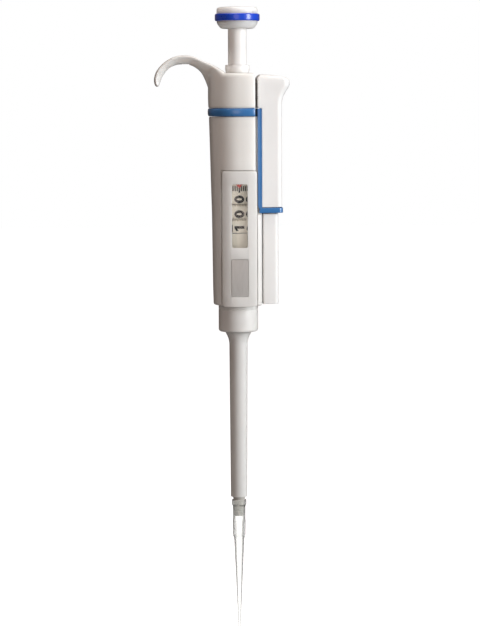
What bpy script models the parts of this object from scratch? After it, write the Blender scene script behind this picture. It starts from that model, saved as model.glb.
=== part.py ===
"""Air displacement micropipette, modelled as separate pieces on one plunger axis.

Metres, +Z up along the plunger. The frame's origin is the small flat land under the
finger hook. +X points from the hook to the thumb ejector, and the display faces -Y.
Lengths below are in millimetres and turn into metres through MM.
"""

import math

import bmesh
import bpy
import numpy as np
from mathutils import Matrix

MM = 0.001

# Plunger axis and running gaps
AXIS_X = 22.8            # plunger axis, from the flat land under the hook
REST_GAP = 0.3           # between pieces that rest on each other
SLIDE_GAP = 0.15         # radial gap of sliding and turning fits
ROUND_STEPS = 28         # facets of a full turn on large round pieces
SMALL_STEPS = 16         # facets of a full turn on small round pieces

# Push button and stem
BUTTON_TOP = 24.9
BUTTON_BOTTOM = 15.35
BUTTON_R = 9.05
RING_TOP = 21.85
RING_BOTTOM = 18.75
RING_R = 9.9
RING_DEPTH = 1.15
STEM_R = 4.1
STEM_TOP = BUTTON_TOP - 3.7
STEM_BOTTOM = -18.0

# Plunger travel: measured stroke, then blow-out
STROKE = 12.0
BLOWOUT = 3.0

# Handle
HANDLE_TOP = -4.0
HANDLE_BOTTOM = -105.65
BAND_TOP = -19.2
BAND_BOTTOM = -22.7
BAND_PROUD = 0.35
HANDLE_DEPTH = 12.1      # half the depth, front to back
OVAL_POWER = 2.4         # superellipse exponent of the handle's cross-section
OVAL_RIGHT = 1.09        # the oval's reach to the right, as a share of the half depth
LIP_X = 9.7              # right-hand edge of the lower handle's corners
SPINE_X = 10.2           # right-hand face of the spine that the ejector rides on
WALL_X = 7.6             # right-hand face beside the ejector
WHEEL_R = 8.55           # number drums in the bore
BORE_R = WHEEL_R + 0.35
BORE_TOP = -49.3
FLOOR_TOP = HANDLE_BOTTOM + 1.4
SPIGOT_R = 7.0
SPIGOT_TOP = -10.2
SPIGOT_BORE_R = 5.4
LEFT_TABLE = (           # height and reach of the handle's left side
    (-15.5, 13.05),
    (-37.0, 12.4),
    (-50.0, 12.1),
    (-66.0, 11.65),
    (-99.0, 11.3),
    (-105.6, 11.1),
)

# Neck bush
BUSH_TOP = -0.4
BUSH_WALL = 0.8
BUSH_SPIGOT_R = STEM_R + SLIDE_GAP + BUSH_WALL
BUSH_R = BUSH_SPIGOT_R + 0.35
BUSH_BOTTOM = -9.4

# Finger hook, along its length: outer point and inner point, in x from the axis and z
HOOK_OUTER = (
    (-35.8, -9.8), (-36.6, -8.4), (-36.7, -6.2), (-35.8, -3.5), (-34.0, -0.95), (-31.3, 1.4),
    (-27.9, 3.15), (-23.9, 3.8), (-19.8, 3.35), (-15.8, 1.6), (-12.0, 0.0), (-8.2, -2.0), (-4.8, -4.4),
)
HOOK_INNER = (
    (-34.9, -9.95), (-34.3, -8.7), (-33.35, -6.2), (-32.1, -4.1), (-30.4, -2.1), (-28.4, -0.9),
    (-25.9, -0.2), (-22.8, -0.2), (-20.3, -0.6), (-17.8, -2.0), (-15.9, -3.8), (-14.4, -6.6), (-12.7, -11.0),
)
HOOK_HALF_TIP = 6.6
HOOK_HALF_ROOT = 9.6
HOOK_SQUARE = 0.6        # exponent of the hook's cross-section, a rounded rectangle
LAND_LENGTH = 3.4
LAND_WIDTH = 6.0

# Display cover and counter
COVER_HALF = 7.6
COVER_TOP = -46.7
COVER_BOTTOM = HANDLE_BOTTOM
COVER_PROUD = 0.05       # the cover's face over the handle's half depth
COVER_FACE = HANDLE_DEPTH + COVER_PROUD
COVER_THICK = 1.1
WINDOW_HALF = 3.45
WINDOW_TOP = -52.1
WINDOW_BOTTOM = -79.8
PANE_MARGIN = 0.45
PANE_THICK = 0.7
LABEL_HALF = 3.8
LABEL_TOP = -84.65
LABEL_BOTTOM = -101.35
LABEL_RECESS = 0.7
FRAME_R = 5.9
FRAME_WALL = 0.8
FRAME_BORE_R = FRAME_R - FRAME_WALL
WHEEL_BORE_R = FRAME_R + SLIDE_GAP
UNITS_TOP = -52.9
UNITS_BOTTOM = -60.9
TENS_BOTTOM = -67.3
HUNDREDS_BOTTOM = -73.8
CARRY_GAP = 1.3          # between two drums, where a carry pinion turns
BLANK_BOTTOM = -80.6
FRAME_FLANGE = 1.4
FRAME_BOTTOM = -86.7
GEAR_TIP_R = WHEEL_R - 0.55
GEAR_ROOT_R = GEAR_TIP_R - 0.6
GEAR_TEETH = 40
TOOTH_LAND = 0.1         # share of the pitch that a tooth's tip takes
PINION_TEETH = 8
PINION_TIP_R = 1.7
PINION_ROOT_R = 1.0
PINION_SHAFT_R = 0.45
PINION_Y = GEAR_TIP_R + PINION_ROOT_R + 0.3    # pinion shaft, behind the plunger axis
CARRY_DISC_R = PINION_Y - PINION_TIP_R - 0.3

# Volume screw
NUT_R = FRAME_BORE_R - SLIDE_GAP
NUT_SKIRT_WALL = 0.6
NUT_SKIRT_BORE_R = NUT_R - NUT_SKIRT_WALL
THREAD_R = NUT_SKIRT_BORE_R - 0.4
NUT_BORE_R = THREAD_R + SLIDE_GAP
SLEEVE_R = THREAD_R - 0.35
SLEEVE_HEX_ACROSS = (SLEEVE_R - 0.74) * math.sqrt(3.0)
HEX_ACROSS = SLEEVE_HEX_ACROSS - 0.35
SLEEVE_TOP = BORE_TOP - 0.7
SLEEVE_FLANGE_R = WHEEL_R - 0.55
SLEEVE_BOTTOM = -73.1
THREAD_PITCH = 1.2
THREAD_TOP = -54.7
NUT_TOP = -56.7
NUT_THREAD_BOTTOM = -62.2

# Plunger inside the handle
CARRIER_TOP = -74.7
CARRIER_FLANGE = 1.6
CARRIER_FLANGE_R = NUT_SKIRT_BORE_R - 0.4
CARRIER_STOP_R = 2.6
CARRIER_BOTTOM = -82.7
PLATE_R = BORE_R - 0.5
PLATE_THICK = 1.8
PISTON_R = 1.63          # 12 mm stroke of this bore moves 100 microlitres
PISTON_BOTTOM = -174.0
PRIMARY_COIL_R = 3.35
PRIMARY_WIRE_R = 0.35
PRIMARY_TURNS = 6
BLOWOUT_COIL_R = 6.7
BLOWOUT_WIRE_R = 0.5
BLOWOUT_TURNS = 2.5

# Ejector below the handle
COLLAR_TOP = HANDLE_BOTTOM - 0.5
COLLAR_BOTTOM = -118.0
COLLAR_R = 8.76
COLLAR_WALL = 1.3
COLLAR_LINE = 1.3        # from the collar's top to its fine groove
FLARE_R = 5.87
FLARE_TOP = COLLAR_BOTTOM - REST_GAP
FLARE_BOTTOM = -124.5
SLEEVE_WALL = 0.7
SLEEVE_TOP_R = 4.05
SLEEVE_END_R = 3.65
SLEEVE_END_WALL = 0.6
SLEEVE_END = -192.35

# Cone, inside the collar and the sleeve
CONE_FLANGE_TOP = FLOOR_TOP + 1.7
CONE_FLANGE_R = BORE_R - 0.7
CONE_SPIGOT_R = COLLAR_R - COLLAR_WALL - 0.67
CONE_SPIGOT_BOTTOM = COLLAR_TOP - 6.0
CUP_WALL = 1.4
CUP_R = CONE_SPIGOT_R - CUP_WALL
CUP_FLOOR = CONE_SPIGOT_BOTTOM + 0.1
CONE_TUBE_R = SLEEVE_TOP_R - SLEEVE_WALL - 0.45
CONE_SHOULDER_R = SLEEVE_END_R - SLEEVE_END_WALL - 0.35
CONE_SHOULDER_Z = SLEEVE_END - 0.5
CONE_NOSE_R = CONE_SHOULDER_R - 0.5
CONE_END = CONE_SHOULDER_Z - 8.2
CONE_BORE_R = PISTON_R + 0.22
SEAL_POCKET_R = PISTON_R + 0.82
SEAL_POCKET_FLOOR = CUP_FLOOR - 9.1

# Ejector beside the handle
EJECT_TRAVEL = 8.0
PAD_TOP = -4.5
PAD_OVERHANG = 3.55     # how far the thumb's pad stands out past the channel
CHANNEL_INNER_X = WALL_X + 0.7
CHANNEL_OUTER_X = 19.3
CHANNEL_HALF = 7.6
CHANNEL_WALL = 0.95
CHANNEL_BACK_WALL = 1.3
TRIM_WIDTH = 1.8
TRIM_TOP = BAND_TOP
WRAP_TOP = -62.8
WRAP_BOTTOM = WRAP_TOP - 2.7
WRAP_PROUD = 0.35
SPINE_HALF = CHANNEL_HALF - CHANNEL_WALL - 0.45    # half the width of the handle's spine
LIP_HALF = CHANNEL_HALF + WRAP_PROUD + 0.35        # inner faces of the lower handle's corners
GUIDE_X = SPINE_X + REST_GAP
GUIDE_OUTER_X = CHANNEL_OUTER_X - CHANNEL_BACK_WALL - 0.35
GUIDE_HALF = CHANNEL_HALF - CHANNEL_WALL - REST_GAP
GUIDE_WALL = 1.2
GUIDE_TOP = WRAP_BOTTOM - 0.4
GUIDE_BOTTOM = HANDLE_BOTTOM + REST_GAP
ROD_X = GUIDE_X + 3.4
ROD_R = 1.4
ROD_TOP = -15.5
WEB_TOP = -38.0
WEB_BOTTOM = -41.0
FOOT_BOTTOM = COLLAR_TOP + 0.6
FOOT_TOP = FOOT_BOTTOM + 1.2
FOOT_HALF = 2.3
EJECT_COIL_R = ROD_R + 0.9
EJECT_WIRE_R = 0.35
EJECT_TURNS = 7

# Disposable tip
TIP_TOP = SLEEVE_END - 1.6
TIP_COLLAR_R = CONE_SHOULDER_R + 0.53
TIP_COLLAR_BOTTOM = TIP_TOP - 2.2
TIP_UPPER_R = CONE_SHOULDER_R + 0.12
TIP_STEP_Z = -211.4
TIP_STEP_R = CONE_NOSE_R + 0.36
TIP_LOWER_R = 2.25
TIP_END = -252.5
TIP_END_R = 0.5
TIP_FIT = 0.12

# Colours as sRGB hex, with roughness, metallic value and alpha
FINISHES = {
    "body_plastic": ("E6E4DF", 0.38, 0.0, 1.0),
    "cap_plastic": ("DEDDD9", 0.36, 0.0, 1.0),
    "royal_blue": ("1B47C4", 0.30, 0.0, 1.0),
    "steel_blue": ("3F82BE", 0.36, 0.0, 1.0),
    "clear_pane": ("F2F5F6", 0.08, 0.0, 0.3),
    "pointer_red": ("C23A2E", 0.45, 0.0, 1.0),
    "label_silver": ("9B9A97", 0.42, 0.6, 1.0),
    "wheel_tan": ("D9D2C2", 0.45, 0.0, 1.0),
    "cone_grey": ("C9C8C4", 0.42, 0.0, 1.0),
    "tip_clear": ("E9EBEA", 0.22, 0.0, 0.45),
    "steel": ("B4B6B8", 0.28, 1.0, 1.0),
    "brass": ("B89A55", 0.32, 1.0, 1.0),
    "dark_plastic": ("4A4C50", 0.5, 0.0, 1.0),
    "seal_white": ("EFEFEC", 0.5, 0.0, 1.0),
    "o_ring_black": ("1C1C1D", 0.6, 0.0, 1.0),
}


def clear_scene():
    """Remove what a new file holds."""
    for obj in list(bpy.data.objects):
        bpy.data.objects.remove(obj, do_unlink=True)
    for coll in list(bpy.data.collections):
        bpy.data.collections.remove(coll)


def make_collection(name):
    coll = bpy.data.collections.new(name)
    bpy.context.scene.collection.children.link(coll)
    return coll


def linear(channel):
    """One sRGB channel from 0 to 1 as a linear value."""
    if channel <= 0.04045:
        return channel / 12.92
    return ((channel + 0.055) / 1.055) ** 2.4


def make_material(name, finish):
    """A Principled material of one finish, named for its piece."""
    hex_code, roughness, metallic, alpha = FINISHES[finish]
    mat = bpy.data.materials.new(name)
    mat.use_nodes = True
    shader = mat.node_tree.nodes["Principled BSDF"]
    rgb = [linear(int(hex_code[i:i + 2], 16) / 255.0) for i in (0, 2, 4)]
    shader.inputs["Base Color"].default_value = (*rgb, 1.0)
    shader.inputs["Roughness"].default_value = roughness
    shader.inputs["Metallic"].default_value = metallic
    shader.inputs["Alpha"].default_value = alpha
    mat.diffuse_color = (*rgb, alpha)
    return mat


class Builder:
    """Makes the pieces and the cutters, and places them under the joint empties."""

    def __init__(self):
        self.parts = make_collection("micropipette")
        self.cutters = make_collection("micropipette_cutters")
        self.anchors = {}
        self.root = self.anchor("plunger_axis", (AXIS_X, 0.0, 0.0), None)

    def anchor(self, name, location, parent="plunger_axis"):
        """An empty on a joint's axis, at a place in mm from its parent."""
        empty = bpy.data.objects.new(name, None)
        empty.empty_display_size = 0.004
        empty.location = [v * MM for v in location]
        if parent is not None:
            empty.parent = self.anchors[parent]
        self.parts.objects.link(empty)
        self.anchors[name] = empty
        return empty

    def place(self, data, name, parent, location=(0.0, 0.0, 0.0), cutter=False):
        """Link new data as an object under an anchor."""
        obj = bpy.data.objects.new(name, data)
        obj.parent = self.anchors[parent]
        obj.location = [v * MM for v in location]
        if cutter:
            self.cutters.objects.link(obj)
            obj.hide_render = True
            obj.display_type = "WIRE"
        else:
            self.parts.objects.link(obj)
        return obj

    def finish(self, obj, finish, smooth=True):
        """Give a piece its own material and smooth shading."""
        obj.data.materials.clear()
        obj.data.materials.append(make_material(obj.name, finish))
        if smooth and obj.type == "MESH":
            obj.data.shade_smooth()
            obj.data.set_sharp_from_angle(angle=math.radians(32.0))
        return obj

    def turned(self, name, profile, parent, steps=ROUND_STEPS, closed=False, cutter=False, location=(0, 0, 0)):
        """A turned shape: a profile of (radius, height) in mm, outer side from top to bottom."""
        mesh = bpy.data.meshes.new(name)
        verts = [(r * MM, 0.0, z * MM) for r, z in profile]
        edges = [(i, i + 1) for i in range(len(verts) - 1)]
        if closed:
            edges.append((len(verts) - 1, 0))
        mesh.from_pydata(verts, edges, [])
        obj = self.place(mesh, name, parent, location, cutter)
        screw = obj.modifiers.new("Turn", "SCREW")
        screw.axis = "Z"
        screw.angle = math.tau
        screw.steps = steps
        screw.render_steps = steps
        screw.use_merge_vertices = True
        screw.merge_threshold = 0.00001
        screw.use_smooth_shade = True
        return obj

    def tube(self, name, r_out, r_in, top, bottom, parent, steps=ROUND_STEPS, cutter=False, location=(0, 0, 0)):
        """A plain ring or tube."""
        profile = [(r_out, top), (r_out, bottom), (r_in, bottom), (r_in, top)]
        return self.turned(name, profile, parent, steps, True, cutter, location)

    def rod(self, name, radius, top, bottom, parent, steps=SMALL_STEPS, cutter=False, location=(0, 0, 0)):
        """A plain solid cylinder."""
        profile = [(0.0, top), (radius, top), (radius, bottom), (0.0, bottom)]
        return self.turned(name, profile, parent, steps, False, cutter, location)

    def box(self, name, low, high, parent, cutter=False):
        """A box between two corners in mm, its origin at its centre."""
        mesh = bpy.data.meshes.new(name)
        bm = bmesh.new()
        bmesh.ops.create_cube(bm, size=1.0)
        size = [(h - l) * MM for l, h in zip(low, high)]
        bmesh.ops.scale(bm, vec=size, verts=bm.verts)
        bm.to_mesh(mesh)
        bm.free()
        centre = [(l + h) / 2.0 for l, h in zip(low, high)]
        return self.place(mesh, name, parent, centre, cutter)

    def loft(self, name, rings, parent, cutter=False):
        """A closed body through rings of equal point counts, in mm."""
        bm = bmesh.new()
        loops = [[bm.verts.new([v * MM for v in point]) for point in ring] for ring in rings]
        count = len(rings[0])
        for above, below in zip(loops, loops[1:]):
            for i in range(count):
                j = (i + 1) % count
                bm.faces.new((above[i], above[j], below[j], below[i]))
        bm.faces.new(loops[0])
        bm.faces.new(list(reversed(loops[-1])))
        bmesh.ops.recalc_face_normals(bm, faces=bm.faces)
        mesh = bpy.data.meshes.new(name)
        bm.to_mesh(mesh)
        bm.free()
        return self.place(mesh, name, parent, (0, 0, 0), cutter)

    def plate(self, name, outline, thickness, parent, location, turn=None, cutter=False):
        """A flat outline in mm, extruded about its own plane and made a mesh."""
        curve = bpy.data.curves.new(name, "CURVE")
        curve.dimensions = "2D"
        curve.fill_mode = "BOTH"
        curve.extrude = thickness * MM / 2.0
        spline = curve.splines.new("POLY")
        spline.points.add(len(outline) - 1)
        for point, (x, y) in zip(spline.points, outline):
            point.co = (x * MM, y * MM, 0.0, 1.0)
        spline.use_cyclic_u = True
        return self.as_mesh(self.place(curve, name + "_outline", parent, location), name, parent, location, turn, cutter)

    def as_mesh(self, source, name, parent, location, turn=None, cutter=False):
        """Turn an evaluated curve into a welded mesh object and drop the curve."""
        graph = bpy.context.evaluated_depsgraph_get()
        mesh = bpy.data.meshes.new_from_object(source.evaluated_get(graph))
        mesh.name = name
        bm = bmesh.new()
        bm.from_mesh(mesh)
        bmesh.ops.remove_doubles(bm, verts=bm.verts, dist=0.000005)
        if turn is not None:
            bmesh.ops.rotate(bm, cent=(0, 0, 0), matrix=turn, verts=bm.verts)
        bmesh.ops.recalc_face_normals(bm, faces=bm.faces)
        bm.to_mesh(mesh)
        bm.free()
        bpy.data.objects.remove(source, do_unlink=True)
        return self.place(mesh, name, parent, location, cutter)

    def coil(self, name, coil_r, wire_r, bottom, top, turns, parent, location=(0, 0, 0)):
        """A helical spring between two heights, its wire ends inside them."""
        low = bottom + wire_r
        high = top - wire_r
        per_turn = 10
        count = int(turns * per_turn) + 1
        curve = bpy.data.curves.new(name, "CURVE")
        curve.dimensions = "3D"
        curve.bevel_depth = wire_r * MM
        curve.bevel_resolution = 1
        curve.use_fill_caps = True
        spline = curve.splines.new("POLY")
        spline.points.add(count - 1)
        for i, point in enumerate(spline.points):
            angle = math.tau * i / per_turn
            height = low + (high - low) * i / (count - 1)
            point.co = (coil_r * math.cos(angle) * MM, coil_r * math.sin(angle) * MM, height * MM, 1.0)
        return self.place(curve, name, parent, location)

    def cut(self, obj, tool, operation="DIFFERENCE"):
        """A live Boolean of a piece with a cutter."""
        mod = obj.modifiers.new(operation.title() + "_" + tool.name, "BOOLEAN")
        mod.operation = operation
        mod.solver = "EXACT"
        mod.object = tool
        return mod

    def bevel(self, obj, width, segments=2, angle=40.0):
        """Round a piece's sharper edges."""
        mod = obj.modifiers.new("Round", "BEVEL")
        mod.width = width * MM
        mod.segments = segments
        mod.limit_method = "ANGLE"
        mod.angle_limit = math.radians(angle)
        return mod


def left_reach(z):
    """Reach of the handle's left side at a height, from the table."""
    heights = [row[0] for row in reversed(LEFT_TABLE)]
    reach = [row[1] for row in reversed(LEFT_TABLE)]
    return float(np.interp(z, heights, reach))


def handle_ring(z, left, right, depth, count=44):
    """One level of the handle: an oval whose right side is cut flat at the given reach."""
    oval_right = depth * OVAL_RIGHT
    power = 2.0 / OVAL_POWER
    start = math.acos(min(1.0, right / oval_right) ** (1.0 / power)) if right < oval_right else 0.0
    steps = count - 1 if start > 0.0 else count
    ring = []
    for i in range(count):
        angle = start + (math.tau - 2.0 * start) * i / steps
        c = math.cos(angle)
        s = math.sin(angle)
        reach = left if c < 0.0 else oval_right
        x = math.copysign(abs(c) ** power * reach, c)
        y = math.copysign(abs(s) ** power * depth, s)
        ring.append((x, y, z))
    return ring


def oval_depth(x, left, depth):
    """Half depth of the handle's oval at a distance to the left of the axis."""
    return depth * (1.0 - min(1.0, x / left) ** OVAL_POWER) ** (1.0 / OVAL_POWER)


def shell_loft(build, name, offset):
    """The handle's full oval over the display's height, grown or shrunk by an offset."""
    rings = []
    for z in (COVER_TOP + 4.0, -50.0, -66.0, -99.0, HANDLE_BOTTOM - 15.0):
        depth = HANDLE_DEPTH + offset
        rings.append(handle_ring(z, left_reach(z) + offset, depth * OVAL_RIGHT, depth))
    return build.loft(name, rings, "plunger_axis", cutter=True)


def rounded_rectangle(x0, x1, y0, y1, radius, steps=4):
    """Outline of a rectangle with round corners."""
    corners = (
        (x1 - radius, y1 - radius, 0.0),
        (x0 + radius, y1 - radius, 90.0),
        (x0 + radius, y0 + radius, 180.0),
        (x1 - radius, y0 + radius, 270.0),
    )
    points = []
    for cx, cy, start in corners:
        for i in range(steps + 1):
            angle = math.radians(start + 90.0 * i / steps)
            points.append((cx + radius * math.cos(angle), cy + radius * math.sin(angle)))
    return points


def prism(build, name, outline, top, bottom, parent, cutter=False):
    """A plan outline in x and y, extruded between two heights."""
    return build.plate(name, outline, top - bottom, parent, (0.0, 0.0, (top + bottom) / 2.0), None, cutter)


def side_plate(build, name, outline, half_width, parent, cutter=False, y=0.0):
    """An outline in x and z, extruded to both sides along y."""
    turn = Matrix.Rotation(math.radians(90.0), 3, "X")
    return build.plate(name, outline, 2.0 * half_width, parent, (0.0, y, 0.0), turn, cutter)


def gear_outline(teeth, tip_r, root_r, phase, land):
    """Outline of a small pointed gear; land is the share of the pitch that a tooth's tip takes."""
    points = []
    pitch = math.tau / teeth
    for i in range(teeth):
        centre = phase + i * pitch
        for offset, radius in ((-0.5, root_r), (-0.5 * land, tip_r), (0.5 * land, tip_r)):
            angle = centre + offset * pitch
            points.append((radius * math.cos(angle), radius * math.sin(angle)))
    return points


def build_button(build):
    """Button cap, its blue ring, the stem and the six-sided rod below it."""
    lower_r = BUTTON_R - 2.2
    groove_r = RING_R - RING_DEPTH - SLIDE_GAP
    profile = [
        (0.0, BUTTON_TOP), (BUTTON_R - 1.3, BUTTON_TOP), (BUTTON_R - 0.4, BUTTON_TOP - 0.5),
        (BUTTON_R, BUTTON_TOP - 1.4),
        (BUTTON_R, RING_TOP + 0.1), (groove_r, RING_TOP + 0.1), (groove_r, RING_BOTTOM - 0.1),
        (BUTTON_R, RING_BOTTOM - 0.1), (BUTTON_R - 0.2, BUTTON_BOTTOM + 2.3), (BUTTON_R - 0.8, BUTTON_BOTTOM + 1.3),
        (lower_r, BUTTON_BOTTOM),
        (STEM_R + SLIDE_GAP, BUTTON_BOTTOM), (STEM_R + SLIDE_GAP, STEM_TOP + REST_GAP), (0.0, STEM_TOP + REST_GAP),
    ]
    cap = build.turned("push_button", profile, "button_turn_axis", 24)
    build.finish(cap, "cap_plastic")

    ring_in = RING_R - RING_DEPTH
    ring_profile = [
        (RING_R - 0.35, RING_TOP), (RING_R, RING_TOP - 0.45), (RING_R, RING_BOTTOM + 0.45),
        (RING_R - 0.35, RING_BOTTOM), (ring_in, RING_BOTTOM), (ring_in, RING_TOP),
    ]
    ring = build.turned("button_ring", ring_profile, "button_turn_axis", ROUND_STEPS, closed=True)
    build.finish(ring, "royal_blue")

    socket_r = HEX_ACROSS / math.sqrt(3.0) + SLIDE_GAP
    socket_top = STEM_BOTTOM + 8.0
    stem_profile = [
        (0.0, STEM_TOP), (STEM_R - 0.4, STEM_TOP), (STEM_R, STEM_TOP - 0.4), (STEM_R, STEM_BOTTOM),
        (socket_r, STEM_BOTTOM), (socket_r, socket_top), (0.0, socket_top),
    ]
    stem = build.turned("push_stem", stem_profile, "button_turn_axis", 24)
    build.finish(stem, "cap_plastic")

    rod = build.rod(
        "push_rod", HEX_ACROSS / math.sqrt(3.0), socket_top - REST_GAP,
        CARRIER_TOP + REST_GAP, "button_turn_axis", steps=6,
    )
    build.finish(rod, "steel")


def build_upper_housing(build):
    """Top of the handle with the finger hook, its flat land and the bush's seat."""
    edge = (
        (HANDLE_TOP, 1.5), (HANDLE_TOP - 0.25, 0.75), (HANDLE_TOP - 0.8, 0.2), (HANDLE_TOP - 1.7, 0.0),
        (-15.5, 0.0), (BAND_TOP + REST_GAP, 0.0),
    )
    rings = []
    for z, inset in edge:
        rings.append(handle_ring(z, left_reach(z) - inset, WALL_X - inset, HANDLE_DEPTH - inset))
    body = build.loft("upper_housing", rings, "plunger_axis")

    hook_rings = []
    count = len(HOOK_OUTER)
    for k, (outer, inner) in enumerate(zip(HOOK_OUTER, HOOK_INNER)):
        share = k / (count - 1)
        half = HOOK_HALF_TIP + (HOOK_HALF_ROOT - HOOK_HALF_TIP) * min(1.0, share * 1.15)
        if k == 0:
            half *= 0.82
        mid = ((outer[0] + inner[0]) / 2.0, (outer[1] + inner[1]) / 2.0)
        across = ((outer[0] - inner[0]) / 2.0, (outer[1] - inner[1]) / 2.0)
        ring = []
        for i in range(20):
            angle = math.tau * i / 20
            c = math.cos(angle)
            s = math.sin(angle)
            n = math.copysign(abs(c) ** HOOK_SQUARE, c)
            w = math.copysign(abs(s) ** HOOK_SQUARE, s)
            ring.append((mid[0] + across[0] * n, half * w, mid[1] + across[1] * n))
        hook_rings.append(ring)
    hook = build.loft("hook_form", hook_rings, "plunger_axis", cutter=True)
    build.cut(body, hook, "UNION")

    land = build.box(
        "hook_land_cutter",
        (-AXIS_X - LAND_LENGTH / 2.0, -LAND_WIDTH / 2.0, -2.0),
        (-AXIS_X + LAND_LENGTH / 2.0, LAND_WIDTH / 2.0, 0.0),
        "plunger_axis", cutter=True,
    )
    build.cut(body, land)
    seat = build.turned(
        "neck_bore_cutter",
        [
            (0.0, 6.0), (BUSH_SPIGOT_R + SLIDE_GAP, 6.0), (BUSH_SPIGOT_R + SLIDE_GAP, SPIGOT_TOP + 0.5),
            (SPIGOT_R + REST_GAP, SPIGOT_TOP + 0.5), (SPIGOT_R + REST_GAP, -24.0), (0.0, -24.0),
        ],
        "plunger_axis", ROUND_STEPS, cutter=True,
    )
    build.cut(body, seat)
    build.finish(body, "body_plastic")

    bush_profile = [
        (BUSH_R - 0.4, BUSH_TOP), (BUSH_R, BUSH_TOP - 0.4), (BUSH_R, -2.0), (BUSH_R - 0.3, HANDLE_TOP + REST_GAP),
        (BUSH_SPIGOT_R, HANDLE_TOP + REST_GAP), (BUSH_SPIGOT_R, BUSH_BOTTOM), (STEM_R + SLIDE_GAP, BUSH_BOTTOM),
        (STEM_R + SLIDE_GAP, BUSH_TOP),
    ]
    bush = build.turned("neck_bush", bush_profile, "plunger_axis", 24, closed=True)
    build.finish(bush, "cap_plastic")

    rings = []
    for z, inset in ((BAND_TOP, 0.25), (BAND_TOP - 0.35, 0.0), (BAND_BOTTOM + 0.35, 0.0), (BAND_BOTTOM, 0.25)):
        proud = BAND_PROUD - inset
        rings.append(handle_ring(z, left_reach(z) + proud, WALL_X - 0.05, HANDLE_DEPTH + proud))
    band = build.loft("colour_band", rings, "plunger_axis")
    hole = build.rod("band_bore_cutter", SPIGOT_R + REST_GAP, -15.0, -26.0, "plunger_axis", ROUND_STEPS, cutter=True)
    build.cut(band, hole)
    build.finish(band, "steel_blue")


def build_lower_housing(build):
    """Long lower half of the handle, with its spigot, bore, window and pockets."""
    top = BAND_BOTTOM - REST_GAP
    rings = []
    for z in (top, -37.0, -50.0, GUIDE_TOP - 0.4, -85.0, -99.0, HANDLE_BOTTOM + 0.7, HANDLE_BOTTOM):
        inset = 0.5 if z == HANDLE_BOTTOM else 0.0
        rings.append(handle_ring(z, left_reach(z) - inset, SPINE_X, HANDLE_DEPTH - 0.15 - inset))
    body = build.loft("lower_housing", rings, "plunger_axis")

    big = 20.0
    for side, sign in (("front", -1.0), ("back", 1.0)):
        inner = sorted((sign * SPINE_HALF, sign * big))
        slot = sorted((sign * SPINE_HALF, sign * LIP_HALF))
        corner = sorted((sign * (LIP_HALF - 0.1), sign * big))
        upper = build.box(
            side + "_wall_cutter", (WALL_X, inner[0], GUIDE_TOP), (big, inner[1], 0.0), "plunger_axis", cutter=True,
        )
        build.cut(body, upper)
        rail = build.box(
            side + "_slot_cutter", (WALL_X, slot[0], -120.0), (big, slot[1], GUIDE_TOP + 1.0),
            "plunger_axis", cutter=True,
        )
        build.cut(body, rail)
        lip = build.box(
            side + "_lip_cutter", (LIP_X, corner[0], -120.0), (big, corner[1], GUIDE_TOP + 1.0),
            "plunger_axis", cutter=True,
        )
        build.cut(body, lip)

    spigot = build.rod("spigot_form", SPIGOT_R, SPIGOT_TOP, top - 6.0, "plunger_axis", ROUND_STEPS, cutter=True)
    build.cut(body, spigot, "UNION")

    bore = build.turned(
        "handle_bore_cutter",
        [
            (0.0, 0.0), (SPIGOT_BORE_R, 0.0), (SPIGOT_BORE_R, BORE_TOP), (BORE_R, BORE_TOP), (BORE_R, FLOOR_TOP),
            (CONE_SPIGOT_R + REST_GAP, FLOOR_TOP), (CONE_SPIGOT_R + REST_GAP, CONE_SPIGOT_BOTTOM),
            (0.0, CONE_SPIGOT_BOTTOM),
        ],
        "plunger_axis", ROUND_STEPS, cutter=True,
    )
    build.cut(body, bore)
    pinion_pocket = build.box(
        "pinion_pocket_cutter", (-2.0, 4.0, HUNDREDS_BOTTOM - 9.0), (2.0, PINION_Y + PINION_TIP_R + 0.3, BORE_TOP),
        "plunger_axis", cutter=True,
    )
    build.cut(body, pinion_pocket)
    cover_pocket = build.box(
        "cover_pocket_cutter", (-COVER_HALF - REST_GAP, -big, -112.0), (COVER_HALF + REST_GAP, -2.0, COVER_TOP + REST_GAP),
        "plunger_axis", cutter=True,
    )
    core = shell_loft(build, "cover_pocket_core", COVER_PROUD - COVER_THICK - REST_GAP)
    build.cut(cover_pocket, core)
    build.cut(body, cover_pocket)
    pane_pocket = build.box(
        "pane_pocket_cutter",
        (-WINDOW_HALF - PANE_MARGIN - REST_GAP, -big, WINDOW_BOTTOM - PANE_MARGIN - REST_GAP),
        (WINDOW_HALF + PANE_MARGIN + REST_GAP, -BORE_R + 3.9, WINDOW_TOP + PANE_MARGIN + REST_GAP),
        "plunger_axis", cutter=True,
    )
    build.cut(body, pane_pocket)
    foot_slot = build.box(
        "foot_slot_cutter", (5.0, -FOOT_HALF - 0.5, -120.0), (12.0, FOOT_HALF + 0.5, FOOT_TOP + REST_GAP),
        "plunger_axis", cutter=True,
    )
    build.cut(body, foot_slot)
    build.finish(body, "body_plastic")


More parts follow.
